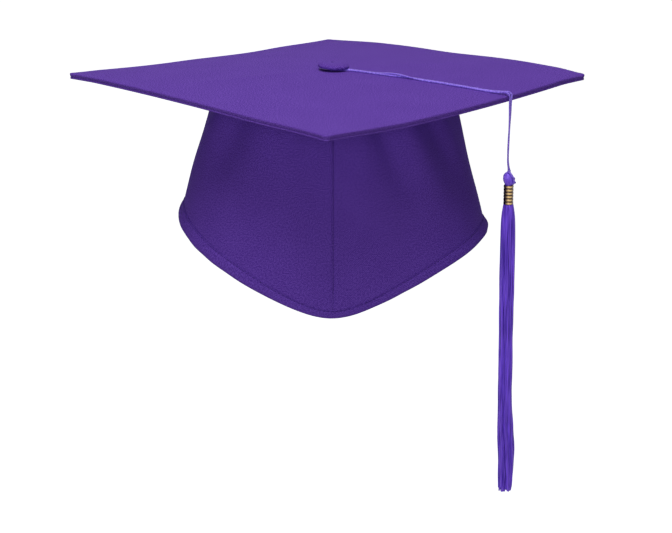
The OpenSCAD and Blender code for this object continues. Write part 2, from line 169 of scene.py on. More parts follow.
print("crown stands", round(float(wall_height(0)), 1), "mm at the temple and",
      round(float(wall_height(270)), 1), "mm at the front peak")

# %% [markdown]
# ## Small tools
# Nearly every piece is a grid of points bent over a surface, so one helper turns a grid of points
# into faces and another closes two grids into a shell with real thickness. A third writes a UV map
# in millimetres along the cloth, which keeps a weave at its true scale on every panel.

# %% Mesh helpers
def quads(index):
    """Quads between the rows and columns of a grid of vertex numbers."""
    a, b, c, d = index[:-1, :-1], index[1:, :-1], index[1:, 1:], index[:-1, 1:]
    return np.stack([a, b, c, d], -1).reshape(-1, 4).tolist()


def border(index):
    """The vertex numbers once round a grid's edge."""
    return np.concatenate([index[0, :-1], index[:-1, -1], index[-1, :0:-1], index[:0:-1, 0]])


def ring_quads(one, two):
    """Quads between two closed rows of vertex numbers."""
    return quads(np.stack([np.append(one, one[0]), np.append(two, two[0])]))


def piece(name, points, faces, material, uv=None):
    """A smooth mesh from points in millimetres, its faces turned outwards."""
    mesh = bpy.data.meshes.new(name)
    mesh.from_pydata((np.asarray(points, float).reshape(-1, 3) * MM).tolist(), [], faces)
    if uv is not None:
        corner = np.zeros(len(mesh.loops), int)
        mesh.loops.foreach_get("vertex_index", corner)
        layer = mesh.uv_layers.new(name="cloth")
        layer.data.foreach_set("uv", np.asarray(uv, float).reshape(-1, 2)[corner].ravel())
    work = bmesh.new()
    work.from_mesh(mesh)
    bmesh.ops.recalc_face_normals(work, faces=work.faces)
    work.to_mesh(mesh)
    work.free()
    mesh.polygons.foreach_set("use_smooth", [True] * len(mesh.polygons))
    mesh.materials.append(material)
    made = bpy.data.objects.new(name, mesh)
    scene.collection.objects.link(made)
    return made


def shell(name, outer, inner, material, uv=None):
    """A closed sheet between two grids of points."""
    rows, columns = outer.shape[:2]
    index = np.arange(rows * columns).reshape(rows, columns)
    under = index + rows * columns
    faces = quads(index) + quads(under[::-1]) + ring_quads(border(index), border(under))
    both = None if uv is None else np.concatenate([uv.reshape(-1, 2)] * 2)
    return piece(name, np.concatenate([outer.reshape(-1, 3), inner.reshape(-1, 3)]), faces,
                 material, both)


def settle(made, body, slot, *nodes):
    """Rides a piece on its body, in place of the nodes it stands for; the slot for its finish is not used."""
    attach(made, body)
    if nodes:
        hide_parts(*nodes)
    return made


def spun(name, profile, material, at=(0, 0, 0), steps=96, shape=None):
    """A closed profile of (radius, height) points turned round Z; shape(angle) scales its radius."""
    profile = np.asarray(profile, float)
    angle = np.arange(steps) * 2 * math.pi / steps
    swell = np.ones(steps) if shape is None else shape(angle)
    radius = np.maximum(profile[None, :, 0], 0) * swell[:, None]
    points = np.stack([radius * np.cos(angle)[:, None], radius * np.sin(angle)[:, None],
                       np.broadcast_to(profile[:, 1], radius.shape)], -1) + np.asarray(at)
    index = np.arange(steps * len(profile)).reshape(steps, -1)
    made = piece(name, points, quads(np.concatenate([index, index[:1]])), material)
    work = bmesh.new()
    work.from_mesh(made.data)
    bmesh.ops.remove_doubles(work, verts=work.verts, dist=1e-7)
    bmesh.ops.dissolve_degenerate(work, edges=work.edges, dist=1e-8)
    bmesh.ops.recalc_face_normals(work, faces=work.faces)
    work.to_mesh(made.data)
    work.free()
    return made


def along(points, step):
    """A smooth line through given points, with a point every step millimetres."""
    p = np.asarray(points, float)
    ends = np.concatenate([2 * p[:1] - p[1:2], p, 2 * p[-1:] - p[-2:-1]])
    line = []
    for a, b, c, d in zip(ends, ends[1:], ends[2:], ends[3:]):
        t = np.linspace(0, 1, 24, endpoint=False)[:, None]
        line.append(0.5 * (2 * b + (c - a) * t + (2 * a - 5 * b + 4 * c - d) * t ** 2
                           + (3 * b - a - 3 * c + d) * t ** 3))
    line = np.concatenate(line + [p[-1:]])
    run = np.concatenate([[0], np.cumsum(np.linalg.norm(np.diff(line, axis=0), axis=1))])
    even = np.linspace(0, run[-1], int(run[-1] / step) + 1)
    return np.stack([np.interp(even, run, line[:, k]) for k in range(3)], -1)


def tube(name, line, diameter, material, sides=12, plies=0, pitch=4, taper=None):
    """A round or plied cord along a line, with its cloth UV running round and along it."""
    heading = np.gradient(line, axis=0)
    heading /= np.linalg.norm(heading, axis=1)[:, None]
    side = np.cross(heading[0], (0.3, 0.2, 0.9))
    sides_of = []
    for t in heading:
        side = side - (side @ t) * t
        side /= np.linalg.norm(side)
        sides_of.append(side)
    first = np.array(sides_of)
    second = np.cross(heading, first)
    run = np.concatenate([[0], np.cumsum(np.linalg.norm(np.diff(line, axis=0), axis=1))])
    angle = np.arange(sides) * 2 * math.pi / sides
    radius = np.full((len(line), sides), diameter / 2)
    if plies:
        lay = abs(np.cos(plies / 2 * (angle[None] - run[:, None] * 2 * math.pi / pitch)))
        radius *= 0.84 + 0.16 * lay ** 0.6
    if taper is not None:
        radius *= taper(run / run[-1])[:, None]
    points = line[:, None] + radius[..., None] * (first[:, None] * np.cos(angle)[None, :, None]
                                                  + second[:, None] * np.sin(angle)[None, :, None])
    index = np.arange(points.shape[0] * sides).reshape(-1, sides)
    faces = quads(np.concatenate([index, index[:, :1]], 1))
    faces += [index[0, ::-1].tolist(), index[-1].tolist()]
    uv = np.stack(np.broadcast_arrays(angle[None] / (2 * math.pi), run[:, None]), -1)
    return piece(name, points, faces, material, uv)


# %% [markdown]
# ## Finishes
# The cap's cloth is a polyester twill: fine slanting ribs, a soft sheen, and a faint mottle where
# the light catches single yarns. An image of cloth would blur close up and repeat, so the weave is
# a small node group that draws the ribs from the cloth's own UV map, in millimetres. The cord and
# the tassel are rayon, which is the shiniest of the threads, so they get a streak group that lays
# fine fibres along the thread.

# %% Node tools
def srgb(r, g, b):
    """Linear colour of an 8-bit screen colour."""
    return [((c / 255 + 0.055) / 1.055) ** 2.4 if c > 10 else c / 255 / 12.92 for c in (r, g, b)] + [1]


def add(tree, kind, inputs=None, **settings):
    """A node with its settings and the values or links of its inputs."""
    node = tree.nodes.new(kind)
    for key, value in settings.items():
        setattr(node, key, value)
    for key, value in (inputs or {}).items():
        if isinstance(value, bpy.types.NodeSocket):
            tree.links.new(value, node.inputs[key])
        else:
            node.inputs[key].default_value = value
    return node


def maths(tree, operation, a, b=0.0, c=0.0):
    return add(tree, "ShaderNodeMath", {0: a, 1: b, 2: c}, operation=operation).outputs[0]


def group_tree(name, inputs, outputs, kind="ShaderNodeTree"):
    """An empty node group with named sockets, and its input and output nodes."""
    tree = bpy.data.node_groups.new(name, kind)
    for label, (socket, value) in inputs.items():
        made = tree.interface.new_socket(label, in_out="INPUT", socket_type=socket)
        if value is not None:
            made.default_value = value
    for label, socket in outputs.items():
        tree.interface.new_socket(label, in_out="OUTPUT", socket_type=socket)
    return tree, tree.nodes.new("NodeGroupInput"), tree.nodes.new("NodeGroupOutput")


# %% Twill weave, as a shader node group
FLOAT, VECTOR = "NodeSocketFloat", "NodeSocketVector"
weave, given, given_out = group_tree(
    "twill weave",
    {"Cloth": (VECTOR, None), "Pitch": (FLOAT, 1.0), "Lean": (FLOAT, 1.0), "Ribs": (FLOAT, 0.2),
     "Grain": (FLOAT, 2.0)},
    {"Height": FLOAT, "Tone": FLOAT})
xyz = add(weave, "ShaderNodeSeparateXYZ", {0: given.outputs["Cloth"]})
u = maths(weave, "MULTIPLY", xyz.outputs[0], given.outputs["Lean"])
v = xyz.outputs[1]
wander = add(weave, "ShaderNodeTexNoise", {"Vector": given.outputs["Cloth"], "Scale": 0.35, "Detail": 2.0})
slant = maths(weave, "ADD", maths(weave, "ADD", u, v), maths(weave, "MULTIPLY", wander.outputs[0], 0.5))
turn = maths(weave, "DIVIDE", slant, given.outputs["Pitch"])
rib = maths(weave, "MULTIPLY_ADD", maths(weave, "SINE", maths(weave, "MULTIPLY", turn, 2 * math.pi)), 0.5, 0.5)
yarn = maths(weave, "SINE", maths(weave, "MULTIPLY", v, 2 * math.pi / 0.45))
yarn = maths(weave, "MULTIPLY_ADD", yarn, 0.5, 0.5)
fleck = add(weave, "ShaderNodeTexNoise", {"Vector": given.outputs["Cloth"], "Scale": 1.3, "Detail": 2.0})
cloud = add(weave, "ShaderNodeTexNoise", {"Vector": given.outputs["Cloth"], "Scale": 0.035, "Detail": 2.0})
height = maths(weave, "MULTIPLY_ADD", yarn, 0.3, maths(weave, "MULTIPLY", rib, 0.7))
grain = maths(weave, "MULTIPLY_ADD", maths(weave, "SUBTRACT", fleck.outputs[0], 0.5), given.outputs["Grain"], 0.5)
tone = maths(weave, "MULTIPLY_ADD", maths(weave, "SUBTRACT", rib, 0.5), given.outputs["Ribs"], grain)
tone = maths(weave, "MULTIPLY_ADD", maths(weave, "SUBTRACT", cloud.outputs[0], 0.5), 0.35, tone)
weave.links.new(height, given_out.inputs["Height"])
weave.links.new(tone, given_out.inputs["Tone"])
print("twill weave has", len(weave.nodes), "nodes")


# %% Cloth materials
def base_material(name, **constants):
    """A material with one Principled BSDF whose plain values are set on its own sockets."""
    material = bpy.data.materials.new(name)
    material.use_nodes = True
    tree = material.node_tree
    shader = tree.nodes["Principled BSDF"]
    for key, value in constants.items():
        shader.inputs[key.replace("_", " ").title()].default_value = value
    return material, tree, shader


def cloth_material(name, dark, light, lean=1.0, pitch=1.0, relief=0.35, ribs=0.2, grain=2.0):
    """Twill in two tones; lean is +1 or -1, the way its ribs slant."""
    material, tree, shader = base_material(name, roughness=0.8, sheen_weight=0.06)
    shader.inputs["Sheen Roughness"].default_value = 0.5
    shader.inputs["Sheen Tint"].default_value = light
    shader.inputs["Specular IOR Level"].default_value = 0.06
    place = add(tree, "ShaderNodeUVMap", uv_map="cloth")
    cloth = add(tree, "ShaderNodeGroup", {}, node_tree=weave)
    cloth.inputs["Pitch"].default_value = pitch
    cloth.inputs["Lean"].default_value = lean
    cloth.inputs["Ribs"].default_value = ribs
    cloth.inputs["Grain"].default_value = grain
    tree.links.new(place.outputs[0], cloth.inputs["Cloth"])
    colour = add(tree, "ShaderNodeMix", {0: cloth.outputs["Tone"], 6: dark, 7: light}, data_type="RGBA")
    bump = add(tree, "ShaderNodeBump", {"Height": cloth.outputs["Height"], "Strength": relief,
                                        "Distance": 0.0002})
    tree.links.new(colour.outputs[2], shader.inputs["Base Color"])
    tree.links.new(bump.outputs[0], shader.inputs["Normal"])
    return material


VIOLET_DARK, VIOLET_LIGHT = srgb(82, 48, 148), srgb(116, 78, 192)
INK_DARK, INK_LIGHT = srgb(54, 32, 100), srgb(78, 50, 134)
board_cloth = cloth_material("board_cloth", srgb(80, 47, 142), srgb(119, 82, 190), 1.0, grain=5.5)
left_cloth = cloth_material("left_panel_cloth", VIOLET_DARK, VIOLET_LIGHT, 1.0, pitch=1.4, relief=0.25, ribs=0.3, grain=4)
right_cloth = cloth_material("right_panel_cloth", VIOLET_DARK, VIOLET_LIGHT, -1.0, pitch=1.4, relief=0.25, ribs=0.5, grain=4)
lining_cloth = cloth_material("lining_cloth", INK_DARK, INK_LIGHT, 1.0, pitch=1.6, relief=0.2)


# %% Rayon, elastic, card and metals
def thread_material(name, dark, light, roughness=0.38, gloss=0.25, fibres=(900.0, 900.0, 40.0)):
    """Shiny rayon with fibres that run along Z, in two tones."""
    material, tree, shader = base_material(name, roughness=roughness, sheen_weight=0.05)
    shader.inputs["Sheen Tint"].default_value = light
    shader.inputs["Specular IOR Level"].default_value = gloss
    shader.inputs["Specular Tint"].default_value = light
    place = add(tree, "ShaderNodeTexCoord")
    stretch = add(tree, "ShaderNodeMapping", {"Vector": place.outputs["Object"], "Scale": fibres})
    streak = add(tree, "ShaderNodeTexNoise", {"Vector": stretch.outputs[0], "Scale": 1.0, "Detail": 3.0})
    strong = maths(tree, "MULTIPLY_ADD", maths(tree, "SUBTRACT", streak.outputs[0], 0.5), 3.2, 0.5)
    colour = add(tree, "ShaderNodeMix", {0: strong, 6: dark, 7: light}, data_type="RGBA")
    bump = add(tree, "ShaderNodeBump", {"Height": streak.outputs[0], "Strength": 0.5, "Distance": 0.0003})
    tree.links.new(colour.outputs[2], shader.inputs["Base Color"])
    tree.links.new(bump.outputs[0], shader.inputs["Normal"])
    return material


skirt_rayon = thread_material("skirt_rayon", srgb(80, 50, 176), srgb(146, 102, 255), 0.34, 0.5)
# the head's threads are the skirt's threads folded over; their colours here are lighter, painted light where the lobe
# catches the lamps
lit_head_rayon = thread_material("lit_head_rayon", srgb(112, 76, 226), srgb(156, 118, 255), 0.3, 0.7,
                             (1200.0, 1200.0, 150.0))
cord_rayon = thread_material("cord_rayon", srgb(100, 72, 192), srgb(168, 138, 252), 0.28, 0.7,
                             (1500.0, 1500.0, 1500.0))
sewing_thread = thread_material("sewing_thread", srgb(40, 22, 82), srgb(58, 34, 110), 0.6, 0.1)


def speckled(name, dark, light, scale, relief, **constants):
    """A plain material with a fine speckle in its colour and relief."""
    material, tree, shader = base_material(name, **constants)
    place = add(tree, "ShaderNodeTexCoord")
    grain = add(tree, "ShaderNodeTexNoise", {"Vector": place.outputs["Object"], "Scale": scale, "Detail": 4.0})
    colour = add(tree, "ShaderNodeMix", {0: grain.outputs[0], 6: dark, 7: light}, data_type="RGBA")
    bump = add(tree, "ShaderNodeBump", {"Height": grain.outputs[0], "Strength": relief, "Distance": 0.0001})
    tree.links.new(colour.outputs[2], shader.inputs["Base Color"])
    tree.links.new(bump.outputs[0], shader.inputs["Normal"])
    return material


card = speckled("pressed_card", srgb(150, 132, 104), srgb(196, 180, 150), 2500, 0.3, roughness=0.9)
steel = speckled("button_metal", srgb(150, 150, 152), srgb(205, 205, 208), 900, 0.1,
                 roughness=0.35, metallic=1.0)
elastic = speckled("elastic_knit", srgb(205, 205, 205), srgb(240, 240, 240), 1800, 0.6, roughness=0.85)

# lacquered brass, dark brown with a painted highlight: pale gold on the rib crowns in a narrow
# stripe down the side that faces the front, and painted shade in the dark brown round the other
# sides; the grooves stay dark brown. Its UV map runs once round and up one unit for each rib
brass, tree, shader = base_material("band_brass", roughness=0.3, metallic=1.0, coat_weight=0.8,
                                    coat_roughness=0.2)
place = add(tree, "ShaderNodeUVMap", uv_map="cloth")
xyz = add(tree, "ShaderNodeSeparateXYZ", {0: place.outputs[0]})
ridge = maths(tree, "COSINE", maths(tree, "MULTIPLY", xyz.outputs[1], 2 * math.pi))
ridge = maths(tree, "SMOOTH_MAX", maths(tree, "MULTIPLY_ADD", ridge, -0.8, 0.4), 0.0, 0.2)
# where the painted highlight falls: a narrow stripe down the side of the band that faces the front
side = maths(tree, "COSINE", maths(tree, "MULTIPLY_ADD", xyz.outputs[0], 2 * math.pi, -1.05 * math.pi))
side = maths(tree, "POWER", maths(tree, "MAXIMUM", side, 0.0), 7.0)
# the painted highlight, a little stronger or weaker along the stripe
highlight_mottle = add(tree, "ShaderNodeTexNoise", {"Vector": place.outputs[0], "Scale": 9.0, "Detail": 2.0}).outputs[0]
painted_highlight = maths(tree, "MULTIPLY", maths(tree, "MULTIPLY", ridge, side), maths(tree, "MULTIPLY_ADD", highlight_mottle, 0.6, 0.7))
# dark brown, and the pale gold of the painted highlight
colour = add(tree, "ShaderNodeMix", {0: painted_highlight, 6: srgb(58, 33, 22), 7: srgb(214, 180, 118)}, data_type="RGBA")
tree.links.new(colour.outputs[2], shader.inputs["Base Color"])
print(len(bpy.data.materials), "materials")

# %% [markdown]
# ## The tassel's cord
# One cord, doubled: its loop lies round the neck under the button, and both strands run over the
# board, cross once on the way, bend over the edge and hang down to the knot. It could be a curve
# with a bevel, but a curve is always smooth, and this cord is made of plies that catch the light
# one by one. So the route is a smooth line through listed points, and a tube with a twisted
# outline is swept along it.

# %% Route of the cord, in metres, as in the imported model
EDGE_X, EDGE_Y = 112.8, -55
CORD_D = 1.2
NECK_BEND_R = 2.5
SLACK = 0.36            # the soft cord sinks this much further than a rigid one, onto the cloth
strand_a = [(0.0013, 0.0022, 0.001), (0.0062, 0.0006, 0.001), (0.012, -0.0026, 0.001),
            (0.0188, -0.0068, 0.001), (0.026, -0.0112, 0.001), (0.0326, -0.0151, 0.0015),
            (0.0361, -0.0171, 0.002), (0.0386, -0.0188, 0.0023), (0.0412, -0.0203, 0.0024),
            (0.0437, -0.0217, 0.0023), (0.0464, -0.0232, 0.002), (0.0499, -0.025, 0.0015),
            (0.0572, -0.0288, 0.001), (0.068, -0.0341, 0.001), (0.0787, -0.0393, 0.001),
            (0.0894, -0.0445, 0.001), (0.0982, -0.0488, 0.001), (0.1043, -0.0519, 0.0013),
            (0.1079, -0.0538, 0.0018), (0.1099, -0.055, 0.0021), (0.1112, -0.0558, 0.0016),
            (0.1121, -0.0562, 0.0006), (0.1123, -0.0557, -0.001), (0.1123, -0.0555, -0.0022)]
strand_b = [(-0.0011, -0.0023, 0.001), (0.004, -0.0034, 0.001), (0.0112, -0.0046, 0.001),
            (0.0182, -0.0084, 0.001), (0.0252, -0.0126, 0.001), (0.032, -0.0164, 0.001),
            (0.0356, -0.0181, 0.001), (0.0383, -0.0192, 0.001), (0.0412, -0.0203, 0.001),
            (0.0442, -0.0213, 0.001), (0.0469, -0.0225, 0.001), (0.0506, -0.0239, 0.001),
            (0.0578, -0.0274, 0.001), (0.0686, -0.0327, 0.001), (0.0793, -0.038, 0.001),
            (0.09, -0.0431, 0.001), (0.0989, -0.0472, 0.001), (0.1052, -0.0502, 0.0014),
            (0.1092, -0.0522, 0.0018), (0.1115, -0.0533, 0.0021), (0.1128, -0.0539, 0.0016),
            (0.1137, -0.0542, 0.0006), (0.1136, -0.0544, -0.001), (0.1133, -0.0545, -0.0022)]
drop_a = [(0.1123, -0.0555, -0.0032), (0.1123, -0.0555, -0.007), (0.1124, -0.0556, -0.013),
          (0.1124, -0.0556, -0.02), (0.1122, -0.0557, -0.028), (0.112, -0.0557, -0.035),
          (0.1119, -0.0556, -0.042), (0.1123, -0.0556, -0.0466)]
drop_b = [(0.1133, -0.0545, -0.0032), (0.1132, -0.0544, -0.007), (0.113, -0.0543, -0.013),
          (0.1126, -0.0542, -0.02), (0.1122, -0.0543, -0.028), (0.112, -0.0543, -0.035),
          (0.1121, -0.0542, -0.042), (0.1127, -0.0543, -0.0466)]


def on_board(points):
    """Points given by their height over the board, in millimetres."""
    p = np.array(points) / MM
    p[:, 2] += CAP_H + warp(p[:, 0], p[:, 1]) - SLACK * smooth((110 - p[:, 0]) / 10)
    return p


def from_edge(points):
    p = np.array(points) / MM
    p[:, 2] += CAP_H + warp(EDGE_X, EDGE_Y)
    return p


bend = [(NECK_BEND_R * math.cos(a) * MM, NECK_BEND_R * math.sin(a) * MM, 0.001)
        for a in np.radians(range(80, 215, 32))]
knot_low, knot_high = (np.array(c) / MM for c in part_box("tassel_knot"))
knot_at = (knot_low + knot_high) / 2
route = np.concatenate([[knot_at + (-0.4, -0.4, 0.7)], from_edge(drop_a)[::-1], on_board(strand_a)[::-1],
                        on_board(bend), on_board(strand_b), from_edge(drop_b), [knot_at + (0.4, 0.4, 0.7)]])
cord_line = along(route, 0.35)
cord = tube("tassel_cord", cord_line, CORD_D, cord_rayon, sides=14, plies=3, pitch=5)
cord_length = float(np.linalg.norm(np.diff(cord_line, axis=0), axis=1).sum()) * MM
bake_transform(cord)
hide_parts("lead_cord", "drop_cord")
print("cord is", round(cord_length, 4), "m long,", len(cord.data.polygons), "faces")

# %% [markdown]
# ## The board
# A square of card with cloth pulled over it, turned round the edges and closed by a second cloth
# underneath. A bevelled cube would give the right outline but a lifeless edge. Here the cloth is
# laid as a grid over the bowed surface, and its border is carried round the card through a short
# profile: a soft turn, a straight side, and the bead where the two cloths are sewn together.

# %% Grid of a rounded square
EDGE_STEPS = [0, 0.5, 1, 1.6, 2.3, 3.2, 4.5, 6.5, 9]


def square_grid(half, corner, inner_steps=104):
    """Square grid points (a, b) with round corners, and the outward direction at each."""
    near = np.array(EDGE_STEPS)
    line = np.concatenate([-half + near, np.linspace(-half + 9, half - 9, inner_steps)[1:-1],
                           (half - near)[::-1]])
    a, b = np.meshgrid(line, line, indexing="ij")
    inner = half - corner
    p, q = np.clip((abs(a) - inner) / corner, 0, 1), np.clip((abs(b) - inner) / corner, 0, 1)
    in_corner = (p > 0) & (q > 0)
    pr, qr = p * np.sqrt(1 - q * q / 2), q * np.sqrt(1 - p * p / 2)
    a = np.where(in_corner, np.sign(a) * (inner + pr * corner), a)
    b = np.where(in_corner, np.sign(b) * (inner + qr * corner), b)
    out = np.stack([np.sign(a) * pr, np.sign(b) * qr], -1)
    return np.stack([a, b], -1), out / np.maximum(np.linalg.norm(out, axis=-1, keepdims=True), 1e-9)


def to_row(ab, z):
    """Board coordinates (a, b), along its edges, to the cap's frame, z over the warped middle."""
    x = BOARD_OFF + (ab[..., 0] + ab[..., 1]) / ROOT2
    y = (ab[..., 1] - ab[..., 0]) / ROOT2
    return np.stack([x, y, CAP_H + warp(x, y) + settled(x, y) + z], -1)


def wrapped_sheet(name, half, corner, rings, lift, material):
    """A sheet whose border is carried on through rings of (outwards, height) steps."""
    ab, out = square_grid(half, corner)
    index = np.arange(ab[..., 0].size).reshape(ab.shape[:2])
    edge = border(index)
    edge_ab, edge_out = ab.reshape(-1, 2)[edge], out.reshape(-1, 2)[edge]
    points = [to_row(ab, lift(ab)).reshape(-1, 3)]
    cloth = [ab.reshape(-1, 2)]
    faces = quads(index)
    last, count, ran = edge, len(points[0]), 0
    for outwards, high in rings:
        reach = outwards(edge_ab) if callable(outwards) else outwards
        moved = edge_ab + edge_out * np.broadcast_to(reach, len(edge))[:, None]
        points.append(to_row(moved, high))
        ran += 0.6
        cloth.append(edge_ab + edge_out * ran)
        ring = np.arange(len(edge)) + count
        faces += ring_quads(last, ring)
        last, count = ring, count + len(edge)
    return piece(name, np.concatenate(points), faces, material, np.concatenate(cloth))


# %% Top cloth, turned round the edge of the card
TURN = 0.75                     # radius of the turn at the top edge
CORNER_R = 1.2


def corner_tuck(ab):
    """Extra thickness where the cloth is folded under itself at each corner."""
    to_corner = np.abs(np.abs(ab[:, 0]) - np.abs(ab[:, 1]))
    at_corner = smooth((np.minimum(abs(ab[:, 0]), abs(ab[:, 1])) - HALF + 16) / 10)
    return 0.45 * at_corner * (hump((to_corner - 2.6) / 1.8) - 0.8 * hump((to_corner - 0.6) / 0.5))


def top_lift(ab):
    """Faint puckers in the cloth, strongest towards the edges."""
    r = np.maximum(abs(ab[..., 0]), abs(ab[..., 1])) / HALF
    ripple = np.sin(ab[..., 0] / 9.1 + 1.3 * np.sin(ab[..., 1] / 23)) * np.sin(ab[..., 1] / 11.7)
    return 0.08 * ripple * smooth((r - 0.3) / 0.7) * smooth((1 - r) / 0.02)


def tucked(out, share=1.0):
    """A ring's distance outwards, with the corner folds added to it."""
    return lambda ab: out + share * corner_tuck(ab)


# (outwards, height) of each ring of the border: the turn, the side drawn in below it, the groove
# of the seam, the bead where the two cloths meet, and the seam allowance turned inside
side_rings = [(tucked(TURN * math.sin(a)), -TURN * (1 - math.cos(a))) for a in np.radians((30, 60, 90))]
side_rings += [(tucked(0.72), -1.2), (tucked(0.5), -1.9), (tucked(0.25), -2.5), (tucked(0.1, 0.6), -2.75),
               (tucked(0.35, 0.5), -2.95), (tucked(0.6, 0.5), -3.2), (tucked(0.6, 0.5), -3.5),
               (tucked(0.3, 0.5), -3.75), (-0.2, -3.85), (-0.9, -3.75), (-3, -3.5), (-3, -2.9), (-0.9, -2.9)]
board_top = wrapped_sheet("board_top_cloth", HALF - TURN, CORNER_R, side_rings, top_lift, board_cloth)
settle(board_top, "cap", "cap_cloth", "board_cover_top")
print("top cloth has", len(board_top.data.polygons), "faces")

# %% Card, and the cloth on its underside
ab, _ = square_grid(HALF - 0.75, CORNER_R)
board_card = shell("pressed_card", to_row(ab, -0.7 + 0 * ab[..., 0]), to_row(ab, -2.7 + 0 * ab[..., 0]), card)
settle(board_card, "cap", "board_card", "board_card")
ab, _ = square_grid(HALF - 2.6, CORNER_R)
edge_of = np.maximum(abs(ab[..., 0]), abs(ab[..., 1]))
sag = 0.35 * smooth((HALF - 2.6 - edge_of) / 6)
under_cloth = shell("board_underside_cloth", to_row(ab, -3.0 - 0.35 - sag), to_row(ab, -2.75 - 0.4 * sag),
                    board_cloth, ab)
settle(under_cloth, "cap", "cap_cloth", "board_cover_underside")
print("underside cloth has", len(under_cloth.data.polygons), "faces")

# %% [markdown]
# ## The crown
# Two cloth panels, each with a lining, sewn to each other at the front and back and to the board
# along the top. Cloth that hangs from a seam breaks into soft folds which run down and outwards
# from where it is pulled. A cloth simulation would make folds of its own choosing, so they are
# written as humps and hollows that slant down the wall, and every layer takes the same ones.

# %% Folds in the wall
# each is (degrees from the front at the top, degrees at the foot, width in degrees, height in mm,
# share of the wall where it starts, share where it ends)
FOLDS = [(10, 17, 6, 2.4, -0.1, 1.05), (17, 42, 4.4, -3.2, -0.1, 0.72), (30, 56, 5, 2.6, -0.1, 0.8),
         (46, 76, 7, -4.2, -0.1, 0.95), (68, 92, 8, -2.2, -0.1, 0.85), (6, 7, 3, -0.9, -0.1, 0.4),
         (-14, -30, 6, -1.7, -0.1, 0.6), (-26, -46, 8, 2.1, -0.1, 0.9), (-42, -68, 6, -2.4, -0.1, 0.75),
         (-58, -84, 7, 1.8, -0.1, 0.8), (-78, -100, 7, -1.5, -0.1, 0.7), (92, 104, 6, 1.2, -0.1, 0.7),
         (112, 126, 7, 1.2, -0.1, 0.8), (134, 140, 6, -1.3, -0.1, 0.7), (152, 150, 6, 1.1, -0.1, 0.8),
         (-110, -122, 7, 1.2, -0.1, 0.8), (-130, -138, 6, -1.3, -0.1, 0.7), (-155, -152, 7, 1.0, -0.1, 0.8)]
SEAMS = (90, 270)


def from_front(th):
    """Degrees round from the front seam, positive to the viewer's right."""
    return (np.asarray(th, float) - 270 + 180) % 360 - 180


def gather(th):
    """How strongly the elastic draws the hem in, 1 at the back of the neck."""
    return smooth((abs(from_front(th)) - 128) / 16)


def folds(th, v):
    """Outward shift of the wall, in millimetres."""
    th, v = np.broadcast_arrays(np.asarray(th, float), v)
    at = from_front(th)
    shift = np.zeros(at.shape)
    for top, foot, width, high, start, end in FOLDS:
        middle = mix(top, foot, v ** 0.8)
        fade = smooth((v - start) / 0.14) * smooth((end - v) / (end - start) * 1.6)
        wide = width * (1 + 1.1 * v)
        shift += high * fade * hump((at - middle) / wide)
    shift *= smooth(v / 0.1) * 0.85 + 0.15
    drawn = gather(th) * smooth((v - 0.62) / 0.38)
    shift += drawn * (1.1 * np.sin(np.radians(at) * 38 + 0.8 * np.sin(at / 5.3)) - 0.6)
    sway = 0.5 * np.sin(np.radians(at) * 3 + 1) * np.sin(math.pi * v)
    to_seam = np.minimum(abs(at), 180 - abs(at)) * 1.6
    pinch = -0.55 * hump(to_seam / 0.9) + 0.25 * hump((to_seam - 3) / 1.6)
    return shift * smooth(to_seam / 14) + sway * smooth(to_seam / 20) + pinch * smooth((1.02 - v) / 0.1)


def columns(first, last, coarse=150):
    """Degrees from seam to seam, closer together beside the seams."""
    near = np.array([0, 0.12, 0.3, 0.5, 0.75, 1.1, 1.6, 2.2, 3])
    return np.concatenate([first + near, np.linspace(first + 3, last - 3, coarse)[1:-1], (last - near)[::-1]])


def wall_sheet(name, first, last, out, back, material, top=0.0, foot=1.0, rows=64, coarse=150):
    """A closed sheet of the folded wall between two distances outside its smooth surface."""
    th = columns(first, last, coarse)[:, None] if last - first > 20 else np.linspace(first, last, 14)[:, None]
    v = np.linspace(0, 1, rows)[None] * (foot - top) + top
    th, v = np.broadcast_arrays(th, v)
    shift = folds(th, v)
    girth = np.radians(from_front(th)) * 95
    return shell(name, wall(th, v, shift + out), wall(th, v, shift + back), material,
                 np.stack([girth, -v * wall_height(th)], -1))


# %% Panels and linings
LINING_OUT = -(CLOTH_T + 0.05)
LINING_BACK = LINING_OUT - LINING_T
for side, first, last, cloth in (("left", 90, 270, left_cloth), ("right", 270, 450, right_cloth)):
    panel = wall_sheet("crown_panel_" + side + "_cloth", first, last, 0, -CLOTH_T, cloth)
    settle(panel, "cap", "cap_cloth", "crown_panel_" + side)
    lining = wall_sheet("crown_lining_" + side + "_cloth", first, last, LINING_OUT, LINING_BACK,
                        lining_cloth, foot=0.995)
    settle(lining, "cap", "stiffening", "crown_lining_" + side)
    print(side, "panel", len(panel.data.polygons), "faces")

# %% Tapes over the two seams, inside
for where, middle in (("front", 270), ("back", 90)):
    tape = wall_sheet(where + "_seam_tape_cloth", middle - 4, middle + 4, LINING_BACK - 0.15,
                      LINING_BACK - 0.7, board_cloth, top=0.03, foot=0.915, rows=50)
    settle(tape, "cap", "cap_cloth", where + "_seam_tape")

# %% Oval that closes the crown, under the board
TIP_RINGS, TIP_STEPS = 26, 120


def tip_points(low):
    r = np.linspace(0.03, 1, TIP_RINGS)[:, None]
    th = np.radians(np.linspace(0, 360, TIP_STEPS + 1))[None]
    x = (TOP_W / 2 + LINING_BACK - 0.3) * r * np.cos(th)
    y = (TOP_D / 2 + LINING_BACK - 0.3) * r * np.sin(th)
    pucker = 0.35 * np.sin(th * 46) * smooth((r - 0.82) / 0.18)
    return np.stack([x, y, CAP_H - BOARD_T - 0.7 + warp(x, y) - low - 0.3 - abs(pucker)], -1)


